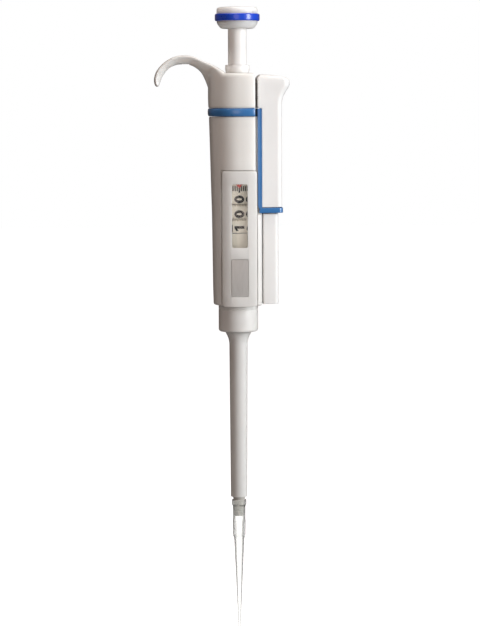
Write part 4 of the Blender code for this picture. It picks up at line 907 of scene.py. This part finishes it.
@dataclass
class Display:
    """Front cover with its window and label recess, the pane, the pointer and the plate."""

    half: float = 7.6
    top: float = -46.7
    bottom: float = -106.15
    proud: float = -0.02
    thick: float = 1.0
    edge: float = 0.2
    window_half: float = 3.45
    window_top: float = -52.45
    window_bottom: float = -80.3
    pane_overlap: float = 0.45
    pane_thick: float = 0.7
    pane_face: float = 10.3
    pointer_half: float = 1.45
    pointer_long: float = 1.8
    label_half: float = 3.8
    label_top: float = -85.2
    label_bottom: float = -101.9
    plate_face: float = 11.8
    plate_gap: float = 0.15

    def build_cover(self) -> None:
        """Cover: a plate bent like the handle's front, with an opening and a shallow recess.

        A flat plate is held to the handle's oval, grown for its face and shrunk for its
        back, and its edges are rounded afterwards.
        """
        outline = box_outline(-self.half, self.half, self.bottom, self.top, 1.2, 10)
        cover = rounded_slab("display_front_cover", outline, -14.0, -6.0, "y")
        heights = np.array([self.top + 4.0, -50.0, -66.0, -99.0, self.bottom - 6.0])
        boolean(cover, [loft("face_tool", FLATTER.rings(heights, self.proud))], "INTERSECT")
        window = box_outline(-self.window_half, self.window_half, self.window_bottom, self.window_top, 1.0, 8)
        label = box_outline(-self.label_half, self.label_half, self.label_bottom, self.label_top, 0.6, 6)
        boolean(cover, [
            loft("back_tool", FLATTER.rings(heights, self.proud - self.thick)),
            rounded_slab("window_tool", window, -15.0, -8.0, "y"),
            rounded_slab("label_tool", label, -15.0, -self.plate_face + 0.35, "y"),
        ])
        rounding = cover.modifiers.new("Round", "BEVEL")
        rounding.width, rounding.segments = self.edge * MM, 3
        rounding.limit_method, rounding.angle_limit = "ANGLE", math.radians(50.0)
        apply_changes(cover, 30.0)
        commit(cover, "handle", "display_cover")

    def build_pane(self) -> None:
        """Clear pane behind the window."""
        half, more, face = self.window_half + self.pane_overlap, self.pane_overlap, -self.pane_face
        outline = box_outline(-half, half, self.window_bottom - more, self.window_top + more, 0.5)
        pane = rounded_slab("counter_pane", outline, face, face + self.pane_thick, "y", 0.08, Finish.PANE)
        commit(pane, "handle", "display_window")

    def build_pointer(self) -> None:
        """Small red pointer at the top of the window."""
        base, face = self.window_top - 0.1, -self.pane_face
        corners = [(0.0, base - self.pointer_long), (self.pointer_half, base), (-self.pointer_half, base)]
        outline = soften(corners, [0.1] * 3, 3)
        pointer = rounded_slab("counter_pointer", outline, face + 1.0, face + 1.3, "y", 0.05, Finish.POINTER)
        commit(pointer, "handle", "index_pointer")

    def build_plate(self) -> None:
        """Bare silver plate in the label recess."""
        half, less, face = self.label_half - self.plate_gap, self.plate_gap, -self.plate_face
        outline = box_outline(-half, half, self.label_bottom + less, self.label_top - less, 0.5)
        plate = rounded_slab("bare_label_plate", outline, face, face + 0.3, "y", 0.05, Finish.FOIL)
        commit(plate, "handle", "label_plate")

    def build(self) -> None:
        """Build the whole sub-assembly."""
        self.build_cover()
        self.build_pane()
        self.build_pointer()
        self.build_plate()


@dataclass
class NumberWheel:
    """One drum of the counter with its printed figures, drawn in shares of an em."""

    node: str
    body: str
    first: int
    figure_z: float
    em: float = 6.175342466
    lift: float = 0.03
    sunk: float = 0.02
    weight: float = 0.05
    one: Outline = (
        (0.18, 0.0), (0.37, 0.0), (0.37, 0.69), (0.24, 0.69), (0.02, 0.57), (0.02, 0.41), (0.18, 0.49))
    zero_outside: tuple[float, float] = (0.275, 0.35)
    zero_inside: tuple[float, float] = (0.075, 0.18)

    def wrap(self, flat: np.ndarray, turn: float) -> np.ndarray:
        """Lay flat print on the drum.

        The print's height runs along the rim to -X and its width up the drum:
        angle = turn - height / radius, x = r sin, y = -r cos, z = figure_z + width.

        Args:
            flat: array of width, height and depth.
            turn: angle of the figure's middle from the front.

        Returns:
            Array of points about the plunger axis.
        """
        radius = DRUM_RADIUS + np.where(flat[:, 2] > 0.0, self.lift, -self.sunk)
        angle = turn - flat[:, 1] / DRUM_RADIUS
        return np.stack([radius * np.sin(angle), -radius * np.cos(angle), self.figure_z + flat[:, 0]], axis=-1)

    def draw(self, bm: bmesh.types.BMesh, digit: int) -> None:
        """Draw a figure's flat faces: a bar for one, a ring between two ellipses for zero, or type.

        An ellipse is (w cos t, h sin t).

        Args:
            bm: empty mesh that gets the faces.
            digit: figure to draw.
        """
        if digit == 1:
            bm.faces.new([bm.verts.new((x, y, 0.0)) for x, y in self.one])
            return
        if digit == 0:
            t = np.linspace(0.0, math.tau, 48, endpoint=False)
            outer, inner = ([bm.verts.new((wide * c, tall * s, 0.0)) for c, s in zip(np.cos(t), np.sin(t))]
                            for wide, tall in (self.zero_outside, self.zero_inside))
            for k in range(len(t)):
                bm.faces.new([outer[k - 1], outer[k], inner[k], inner[k - 1]])
            return
        curve = bpy.data.curves.new("figure", "FONT")
        curve.body, curve.offset, curve.resolution_u = str(digit), self.weight, 4
        holder = bpy.data.objects.new("figure", curve)
        bpy.context.scene.collection.objects.link(holder)
        graph = bpy.context.evaluated_depsgraph_get()
        bm.from_mesh(bpy.data.meshes.new_from_object(holder.evaluated_get(graph)))
        bpy.data.objects.remove(holder, do_unlink=True)

    def figure_mesh(self, digit: int) -> tuple[np.ndarray, list[list[int]]]:
        """Points and faces of one figure, centred, with its edges cut fine enough to bend.

        Args:
            digit: figure to draw.

        Returns:
            Array of width and height in mm and of depth, 0 or 1, and the faces.
        """
        bm = bmesh.new()
        self.draw(bm, digit)
        bmesh.ops.remove_doubles(bm, verts=bm.verts, dist=0.0001)
        bmesh.ops.triangulate(bm, faces=bm.faces)
        for _ in range(3):
            long_edges = [edge for edge in bm.edges if edge.calc_length() > 0.09]
            bmesh.ops.subdivide_edges(bm, edges=long_edges, cuts=1)
            bmesh.ops.triangulate(bm, faces=bm.faces)
        raised = bmesh.ops.extrude_face_region(bm, geom=list(bm.faces), use_keep_orig=True)["geom"]
        corners = [part for part in raised if isinstance(part, bmesh.types.BMVert)]
        bmesh.ops.translate(bm, vec=(0.0, 0.0, 1.0), verts=corners)
        bm.verts.index_update()
        points = np.array([vert.co for vert in bm.verts])
        faces = [[vert.index for vert in face.verts] for face in bm.faces]
        bm.free()
        middle = (points.min(axis=0) + points.max(axis=0)) / 2.0
        return (points - middle * [1.0, 1.0, 0.0]) * [self.em, self.em, 1.0], faces

    def build(self) -> None:
        """Dress the drum and print its ten figures in the order that the count runs."""
        dress_node(self.node, Finish.WHEEL)
        points, faces, offset = [], [], 0
        for digit in range(10):
            flat, own = self.figure_mesh(digit)
            points.append(self.wrap(flat, -math.radians(36.0) * (digit - self.first)))
            faces += [[i + offset for i in face] for face in own]
            offset += len(flat)
        no_quads = np.zeros((0, 4), dtype=int)
        print_piece = make_piece(
            self.node + "_figures", np.concatenate(points), no_quads, Finish.INK, faces, 60.0)
        commit(print_piece, self.body, self.node, replaces=False)


@dataclass
class Counter:
    """Number wheels, the scale on the first of them and the plain ring below."""

    marks: int = 60
    mark_top: float = -53.4
    mark_ends: tuple[float, float] = (-56.3, -55.6)
    mark_halves: tuple[float, float] = (0.32, 0.26)
    mark_sunk: float = 0.02
    mark_lift: float = 0.03
    blank_ring: Outline = ((DRUM_RADIUS, -74.1), (DRUM_RADIUS, -80.6), (6.05, -80.6), (6.05, -74.1))
    wheels: list[NumberWheel] = field(default_factory=lambda: [
        NumberWheel("units_wheel", "units", 0, -59.15),
        NumberWheel("tens_wheel", "tens", 0, -65.6),
        NumberWheel("hundreds_wheel", "hundreds", 1, -71.9),
    ])

    def build_scale(self) -> None:
        """Fine marks above the units, one every six degrees and a long one at each figure.

        Each mark is a thin plate bent on the drum: x = r sin a, y = -r cos a.
        """
        long_mark = (np.arange(self.marks) % 6) == 0
        ends = np.where(long_mark, *self.mark_ends)
        half = np.where(long_mark, *self.mark_halves) / DRUM_RADIUS
        angle = (np.arange(self.marks) * math.tau / self.marks)[:, None] + np.array([-1.0, 1.0]) * half[:, None]
        levels = [np.broadcast_to(z[:, None], angle.shape) for z in (ends, np.full(self.marks, self.mark_top))]
        points = [np.stack([r * np.sin(angle), -r * np.cos(angle), z], axis=-1)
                  for r in (DRUM_RADIUS - self.mark_sunk, DRUM_RADIUS + self.mark_lift) for z in levels]
        stack = np.stack(points, axis=1)
        cell = np.array([[0, 1, 3, 2], [4, 5, 7, 6], [0, 1, 5, 4], [2, 3, 7, 6], [0, 2, 6, 4], [1, 3, 7, 5]])
        quads = (cell[None, :, :] + 8 * np.arange(self.marks)[:, None, None]).reshape(-1, 4)
        scale = make_piece("units_scale_marks", stack, quads, Finish.INK, sharp_deg=30.0)
        commit(scale, "units", "units_wheel", replaces=False)

    def build(self) -> None:
        """Build the whole sub-assembly."""
        for wheel in self.wheels:
            wheel.build()
        self.build_scale()
        ring = soften(self.blank_ring, [0.18, 0.18, 0.0, 0.0], 4)
        commit(revolve("counter_blank_ring", ring, Finish.WHEEL, 160), "handle", "blank_ring")


@dataclass
class ThumbEjector:
    """Thumb piece with its channel, and the blue trim."""

    inner_x: float = 8.3
    outer_x: float = 19.25
    half: float = 7.6
    wall: float = 0.95
    draft: float = 1.2
    deep_x: float = 17.95
    foot: float = -62.7
    pad_top: float = -4.55
    pad_edge: float = 1.3
    corner: float = 2.6
    pad_corner: float = 3.4
    roof: float = -8.2
    web: tuple[float, float] = (-38.0, -41.0)
    below: float = -80.0
    rail_x: float = 10.25
    rail_top: float = -19.35
    wrap_top: float = -62.95
    wrap_bottom: float = -65.3
    side_view: Outline = (
        (-62.8, 19.25), (-18.8, 19.25), (-17.0, 19.3), (-15.3, 19.6), (-13.8, 20.1), (-12.2, 21.0),
        (-10.8, 21.9), (-10.0, 22.5), (-9.4, 22.75), (-7.0, 22.8),
    )
    strip: Outline = ((8.3, -19.5), (10.1, -19.5), (10.1, -64.0), (9.6, -64.2), (8.9, -63.8), (8.3, -62.0))

    def plan(self, reach: float, corner: float, inset: float, height: float) -> np.ndarray:
        """One rounded rectangle in plan, with small corners inside and larger ones outside.

        Args:
            reach: right side's x.
            corner: radius of the two outer corners.
            inset: how far the outline is drawn in.
            height: its level.

        Returns:
            Array of x, y and z.
        """
        near, far, half = self.inner_x + inset, reach - inset, self.half - inset
        end = half - self.draft
        flat = soften([(near, -half), (far, -end), (far, end), (near, half)], [0.8, corner, corner, 0.8], 12)
        return np.column_stack([flat, np.full(len(flat), height)])

    def outside_rings(self) -> np.ndarray:
        """Plan outlines of the thumb piece from its foot to its pad.

        Ring k is a rounded rectangle whose right side reaches X(z), read from a smooth
        curve through the pad's side view. The last rings rise to the pad's sloping top,
        z = top - slope(x), and are drawn in by edge * (1 - cos a) on their way.

        Returns:
            Array of rings, points and coordinates.
        """
        heights = np.concatenate([
            np.linspace(self.foot, -19.2, 12), np.linspace(-18.6, -9.8, 27), [-9.4, -9.0, -8.7]])
        reach = np.interp(heights, *np.array(self.side_view).T)
        shares = np.array([1.0, 2.0, 3.0, 2.0, 1.0]) / 9.0
        reach = np.convolve(np.pad(reach, 2, mode="edge"), shares, mode="valid")
        corner = self.corner + (self.pad_corner - self.corner) * smooth_step(heights, -18.0, -9.0)
        rings = [self.plan(x, r, 0.0, z) for x, r, z in zip(reach, corner, heights)]
        for angle in np.linspace(0.0, math.pi / 2.0, 7):
            ring = self.plan(reach[-1], self.pad_corner, self.pad_edge * (1.0 - math.cos(angle)), 0.0)
            slope = 0.8 * (1.0 - smooth_step(ring[:, 0], 8.3, 10.4))
            slope += 0.105 * np.clip(ring[:, 0] - 14.0, 0.0, None) ** 1.35
            ring[:, 2] = self.pad_top - slope - self.pad_edge * (1.0 - math.sin(angle))
            rings.append(ring)
        return np.stack(rings)

    def cavity(self) -> np.ndarray:
        """Plan of the hollow behind the wall: it narrows outward like the outside."""
        half = self.half - self.wall
        end = half - self.draft * (self.deep_x - self.inner_x) / (self.outer_x - self.inner_x)
        corners = [(0.0, -half), (self.inner_x, -half), (self.deep_x, -end),
                   (self.deep_x, end), (self.inner_x, half), (0.0, half)]
        return soften(corners, [0.1, 0.5, 0.9, 0.9, 0.5, 0.1], 8)

    def build_thumb(self) -> None:
        """Thumb piece: the lofted form, hollowed from below for the rod and the rails."""
        thumb = loft("ejector_thumb_piece", self.outside_rings(), Finish.THUMB)
        inner = self.half - self.wall
        web_top, web_bottom = self.web
        hole = [(0.0, -15.2), (ROD_HOLE, -15.2), (ROD_HOLE, self.below), (0.0, self.below)]
        front = box_outline(0.0, self.rail_x, -9.0, -inner + 0.5, 0.1)
        back = box_outline(0.0, self.rail_x, inner - 0.5, 9.0, 0.1)
        boolean(thumb, [
            rounded_slab("lower_tool", self.cavity(), self.below, web_bottom),
            rounded_slab("upper_tool", self.cavity(), web_top, self.roof, edge=0.5),
            rounded_slab("web_tool", box_outline(0.0, 10.6, -inner, inner, 0.2), self.below, self.roof),
            rounded_slab("front_tool", front, self.below, self.rail_top),
            rounded_slab("back_tool", back, self.below, self.rail_top),
            revolve("rod_tool", hole, steps=48, closed=False, centre_x=ROD_X),
        ])
        commit(thumb, "ejector", "thumb_ejector")

    def build_trim(self) -> None:
        """Blue trim: a wrap band round the channel's foot and a strip up each side."""
        near, far = self.half + 0.33, self.half - self.draft + 0.35
        left, right = self.inner_x + 0.5, self.outer_x + 0.35
        outline = soften([(left, -near), (right, -far), (right, far), (left, near)], [0.6, 2.2, 2.2, 0.6], 8)
        trim = rounded_slab("ejector_colour_trim", outline, self.wrap_bottom, self.wrap_top, "z", 0.35,
                            Finish.STEEL_BLUE)
        side = soften(self.strip, [0.3, 0.9, 0.1, 0.4, 0.6, 1.0], 8)
        inner = self.half - self.wall + 0.02
        boolean(trim, [
            rounded_slab("front_strip", side, -self.half, -inner, "y", 0.12, Finish.STEEL_BLUE),
            rounded_slab("back_strip", side, inner, self.half, "y", 0.12, Finish.STEEL_BLUE),
        ], "UNION")
        boolean(trim, [rounded_slab("wrap_tool", self.cavity(), -71.0, self.web[1])])
        commit(trim, "ejector", "ejector_trim")

    def build(self) -> None:
        """Build the whole sub-assembly."""
        self.build_thumb()
        self.build_trim()


@dataclass
class LowerTube:
    """Ejector collar and sleeve, the tip cone inside them and the disposable tip."""

    collar_radius: float = 8.76
    collar_top: float = -106.45
    collar_bottom: float = -118.0
    collar_bore: float = 5.17
    collar_wall: float = 1.3
    line_z: float = -107.75
    line_deep: float = 0.16
    flare_radius: float = 5.87
    flare_top: float = -118.3
    flare_bottom: float = -124.5
    sleeve_radius: float = 4.05
    sleeve_end_radius: float = 3.65
    sleeve_end: float = -192.35
    sleeve_wall: float = 0.7
    cone_outside: Outline = (
        (8.2, -102.55), (8.2, -103.95), (6.79, -103.95), (6.79, -112.15), (4.75, -116.2), (4.2, -118.4),
        (3.3, -121.4), (3.05, -125.6), (2.9, -149.6), (2.7, -190.25), (2.7, -192.85))
    cone_inside: Outline = (
        (0.9, -201.05), (0.9, -191.75), (1.85, -190.85), (1.85, -121.15), (2.45, -121.15), (2.45, -112.05),
        (4.9, -112.05), (5.39, -109.05), (5.39, -102.55))
    cone_end: float = -201.05
    cone_end_radius: float = 2.2
    nose_top: float = -192.85
    nose_radius: float = 2.6
    nose_grooves: tuple[float, ...] = (-193.45, -195.65, -198.45)
    tip_top: float = -193.95
    tip_end: float = -252.45
    ribs: int = 12
    rib_height: float = 0.15
    rib_top: float = -202.4
    rib_bottom: float = -210.8
    rib_run: float = 0.8
    ring_gap: float = 0.8
    tip_steps: int = 144

    def build_collar(self) -> None:
        """Collar: a plain band with a fine line near its top and a rolled lower edge."""
        r, line, bore = self.collar_radius, self.line_z, self.collar_bore
        groove, wall = r - self.line_deep, r - self.collar_wall
        corners = [
            (r, self.collar_top), (r, line), (groove, line - 0.1), (groove, line - 0.3), (r, line - 0.4),
            (r, self.collar_bottom), (bore, self.collar_bottom), (bore, -116.6), (wall, -115.6),
            (wall, self.collar_top),
        ]
        profile = soften(corners, [0.3, 0.05, 0.03, 0.03, 0.05, 1.35, 0.15, 0.1, 0.1, 0.1], 8)
        commit(revolve("ejector_collar_band", profile, Finish.BODY, 160), "ejector", "ejector_collar")

    def build_sleeve(self) -> None:
        """Sleeve: a trumpet top that runs into a long, slightly tapered tube.

        The trumpet's radius falls as r1 + (r0 - r1) (1 - sin(t 90 deg))^1.25.
        """
        t = np.linspace(0.0, 1.0, 26)
        fall = (1.0 - np.sin(t * math.pi / 2.0)) ** 1.25
        flare_r = self.sleeve_radius + (self.flare_radius - self.sleeve_radius) * fall
        flare_z = self.flare_top + (self.flare_bottom - self.flare_top) * t
        end = soften([(self.sleeve_radius, self.flare_bottom), (self.sleeve_end_radius, self.sleeve_end),
                      (self.sleeve_end_radius - 0.6, self.sleeve_end),
                      (self.sleeve_radius - self.sleeve_wall, self.flare_bottom)], [0.0, 0.25, 0.12, 0.0], 6)
        outer = np.stack([flare_r, flare_z], axis=-1)
        inner = outer[::-1] - [self.sleeve_wall, 0.0]
        profile = np.concatenate([outer[:-1], end, inner[1:]])
        commit(revolve("ejector_long_sleeve", profile, Finish.BODY, 128), "ejector", "ejector_sleeve")

    def build_cone(self) -> None:
        """Tip cone: a flanged tube with a grooved nose."""
        nose = []
        for z in self.nose_grooves:
            share = (z - self.cone_end) / (self.nose_top - self.cone_end)
            r = self.cone_end_radius + (self.nose_radius - self.cone_end_radius) * share
            nose += [(r, z), (r - 0.16, z - 0.15), (r - 0.16, z - 0.35), (r - 0.02, z - 0.5)]
        corners = [*self.cone_outside, *nose, (self.cone_end_radius, self.cone_end), *self.cone_inside]
        radii = [0.2] * 3 + [1.0] * 5 + [0.0, 0.0, 0.3] + [0.05] * len(nose) + [0.3] + [0.1] * 9
        commit(revolve("tip_cone_shell", soften(corners, radii, 4), Finish.CONE), "handle", "tip_cone")

    def build_tip(self) -> None:
        """Clear tip: a collar, a ribbed upper tube, a step and the long taper.

        A rib stands out from the tube by 0.15 mm times the square of the positive part of
        cos(12 u), faded in and out along z.
        """
        outer = soften([(3.23, self.tip_top), (3.23, -196.1), (2.82, -196.6), (2.6, -210.3), (2.25, -211.5),
                        (1.32, -232.2), (0.5, self.tip_end)],
                       [0.2, 0.25, 0.3, 0.4, 0.4, 0.0, 0.0], 6, closed=False)
        inner = soften([(0.28, self.tip_end), (1.08, -232.2), (1.85, -211.5), (2.12, -210.7), (2.32, -201.5),
                        (2.72, self.tip_top)], [0.0, 0.0, 0.3, 0.3, 0.0, 0.0], 6, closed=False)
        outer = np.concatenate([outer[:1] - [0.2, 0.0], outer])
        fine = [outer[:1]]
        for a, b in zip(outer, outer[1:]):
            cuts = max(1, int(abs(b[1] - a[1]) / self.ring_gap))
            fine.append(a + (b - a) * (np.arange(1, cuts + 1) / cuts)[:, None])
        profile = np.concatenate([*fine, inner])
        u = np.linspace(0.0, math.tau, self.tip_steps, endpoint=False)
        r, z = profile[:, 0:1], profile[:, 1:2]
        on_outer = (np.arange(len(profile)) < len(profile) - len(inner))[:, None]
        fade = smooth_step(-z, -self.rib_top, self.rib_run - self.rib_top) * on_outer
        fade = fade * (1.0 - smooth_step(-z, -self.rib_bottom - self.rib_run, -self.rib_bottom))
        radius = r + self.rib_height * fade * np.clip(np.cos(self.ribs * u), 0.0, 1.0)[None, :] ** 2
        grid = np.stack([radius * np.cos(u), radius * np.sin(u), np.broadcast_to(z, radius.shape)], axis=-1)
        faces = grid_faces(len(profile), self.tip_steps, True)
        tip = make_piece("clear_disposable_tip", grid, faces, Finish.TIP, sharp_deg=50.0)
        commit(tip, "tip", "disposable_tip")

    def build(self) -> None:
        """Build the whole sub-assembly."""
        self.build_collar()
        self.build_sleeve()
        self.build_cone()
        self.build_tip()


@dataclass
class InnerWorks:
    """CAD pieces inside the handle that keep their own shape and get a finer finish."""

    finishes: dict[Finish, tuple[str, ...]] = field(default_factory=lambda: {
        Finish.STEEL: ("push_rod", "pinion_shaft", "piston", "first_stop_plate", "primary_spring",
                       "blowout_spring", "ejector_spring", "ejector_rod"),
        Finish.BRASS: ("volume_sleeve", "volume_stop_nut", "piston_carrier"),
        Finish.DARK: ("counter_frame", "units_pinion", "tens_pinion", "seal_retainer"),
        Finish.SEAL: ("piston_seal",),
        Finish.RUBBER: ("seal_o_ring",),
    })

    def build(self) -> None:
        """Give each kept node its finish."""
        for finish, names in self.finishes.items():
            for name in names:
                dress_node(name, finish)


# Light, floor and camera

@dataclass(frozen=True)
class Lamp:
    """A rectangular lamp: place and size in mm, power in watts and colour as sRGB hex."""

    name: str
    place: tuple[float, float, float]
    size: tuple[float, float]
    power: float
    colour: str

    def build(self, target_z: float) -> None:
        """Add the lamp, facing a height on the plunger axis.

        Args:
            target_z: that height in mm.
        """
        lamp = bpy.data.lights.new(self.name, "AREA")
        lamp.shape = "RECTANGLE"
        lamp.size, lamp.size_y = self.size[0] * MM, self.size[1] * MM
        lamp.energy = self.power
        lamp.color = srgb(self.colour)[:3]
        holder = bpy.data.objects.new(self.name, lamp)
        holder.location = Vector((self.place[0] + AXIS_X, self.place[1], self.place[2])) * MM
        aim = Vector((AXIS_X, 0.0, target_z)) * MM - holder.location
        holder.rotation_euler = aim.to_track_quat("-Z", "Y").to_euler()
        bpy.context.scene.collection.objects.link(holder)


@dataclass
class Studio:
    """Pale floor, soft lamps and a camera like the photograph's.

    The key lamp stands to the right and in front, a weaker one above and a faint one to
    the left.
    """

    distance: float = 1000.0
    camera_z: float = -15.0
    azimuth_deg: float = -4.0
    tilt_deg: float = 5.603
    pan_deg: float = -0.041
    roll_deg: float = -0.23
    focal_px: float = 2260.3
    frame_high_px: float = 640.0
    sensor_mm: float = 24.0
    floor_z: float = -300.0
    floor_half: float = 4000.0
    lamps_face_z: float = -90.0
    lamps: tuple[Lamp, ...] = (
        Lamp("key_lamp", (615.0, -400.0, 70.0), (240.0, 540.0), 5.6, "FAFDFF"),
        Lamp("top_lamp", (-20.0, -50.0, 560.0), (380.0, 300.0), 2.6, "FFF9F4"),
        Lamp("fill_lamp", (-100.0, -700.0, 60.0), (300.0, 420.0), 0.7, "FFE8DD"),
    )

    def mix_by_sight(self, tree: bpy.types.NodeTree, unseen: bpy.types.NodeSocket, seen: bpy.types.NodeSocket,
                     output: str) -> None:
        """Give the camera and clear plastic one shader and all other rays another.

        Args:
            tree: tree of the floor or the world.
            unseen: shader for the other rays.
            seen: shader for the camera and for rays through clear plastic.
            output: Blender's name for the output node.
        """
        path = add_node(tree, "ShaderNodeLightPath")
        sight = add_node(tree, "ShaderNodeMath", {
            0: path.outputs["Is Camera Ray"], 1: path.outputs["Is Transmission Ray"]}, {"operation": "MAXIMUM"})
        mixed = add_node(tree, "ShaderNodeMixShader", {"Fac": sight.outputs[0], 1: unseen, 2: seen})
        add_node(tree, output, {"Surface": mixed.outputs[0]})

    def build_floor(self) -> None:
        """Pale painted floor that reads white to the camera and still takes the shadow.

        Away from the camera the paint answers darker: the part then keeps its shade below.
        """
        half = self.floor_half
        mesh = bpy.data.meshes.new("studio_floor")
        mesh.from_pydata([((x + AXIS_X) * MM, y * MM, self.floor_z * MM) for x, y in (
            (-half, -half), (half, -half), (half, half), (-half, half))], [], [(0, 1, 2, 3)])
        floor = bpy.data.objects.new("studio_floor", mesh)
        bpy.context.scene.collection.objects.link(floor)
        material = bpy.data.materials.new("studio_floor_paint")
        tree = empty_tree(material)
        paint = add_node(tree, "ShaderNodeBsdfDiffuse", {"Color": (0.8, 0.8, 0.8, 1.0)})
        low = add_node(tree, "ShaderNodeBsdfDiffuse", {"Color": (0.3, 0.3, 0.3, 1.0)})
        glow = add_node(tree, "ShaderNodeEmission", {"Color": (1.0, 1.0, 1.0, 1.0), "Strength": 0.93})
        both = add_node(tree, "ShaderNodeAddShader", {0: paint.outputs[0], 1: glow.outputs[0]})
        self.mix_by_sight(tree, low.outputs[0], both.outputs[0], "ShaderNodeOutputMaterial")
        mesh.materials.append(material)

    def build_world(self) -> None:
        """World: white to the camera and through clear plastic, warm and dim as a light."""
        world = bpy.data.worlds.new("studio_world")
        bpy.context.scene.world = world
        tree = empty_tree(world)
        dim = add_node(tree, "ShaderNodeBackground", {"Color": srgb("FFE6DA"), "Strength": 0.155})
        white = add_node(tree, "ShaderNodeBackground", {"Color": srgb("FFFFFF"), "Strength": 1.0})
        self.mix_by_sight(tree, dim.outputs[0], white.outputs[0], "ShaderNodeOutputWorld")

    def build_camera(self) -> None:
        """Camera just below the level of the hook, tilted down to the middle of the tube."""
        camera = bpy.data.cameras.new("photo_camera")
        camera.sensor_fit = "VERTICAL"
        camera.sensor_height = self.sensor_mm
        camera.lens = self.sensor_mm * self.focal_px / self.frame_high_px
        camera.clip_start, camera.clip_end = 0.01, 20.0
        holder = bpy.data.objects.new("photo_camera", camera)
        azimuth, tilt = math.radians(self.azimuth_deg), math.radians(self.tilt_deg)
        place = Vector((
            AXIS_X + self.distance * math.sin(azimuth), -self.distance * math.cos(azimuth), self.camera_z)) * MM
        heading = -azimuth - math.radians(self.pan_deg)
        aim = Vector((math.sin(heading) * math.cos(tilt), math.cos(heading) * math.cos(tilt), -math.sin(tilt)))
        turn = aim.to_track_quat("-Z", "Y").to_matrix().to_4x4()
        roll = Matrix.Rotation(math.radians(self.roll_deg), 4, "Z")
        holder.matrix_world = Matrix.Translation(place) @ turn @ roll
        bpy.context.scene.collection.objects.link(holder)
        bpy.context.scene.camera = holder

    def build(self) -> None:
        """Build the stage."""
        self.build_floor()
        self.build_world()
        for lamp in self.lamps:
            lamp.build(self.lamps_face_z)
        self.build_camera()
        bpy.context.scene.view_settings.view_transform = "Standard"


def main() -> None:
    logging.basicConfig(level=logging.INFO, format="%(name)s %(message)s")
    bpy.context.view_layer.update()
    groups = (PushButton(), Handle(), Display(), Counter(), ThumbEjector(), LowerTube(), InnerWorks(), Studio())
    for group in groups:
        LOG.info("building %s", type(group).__name__)
        group.build()


if __name__ == "__main__":
    main()
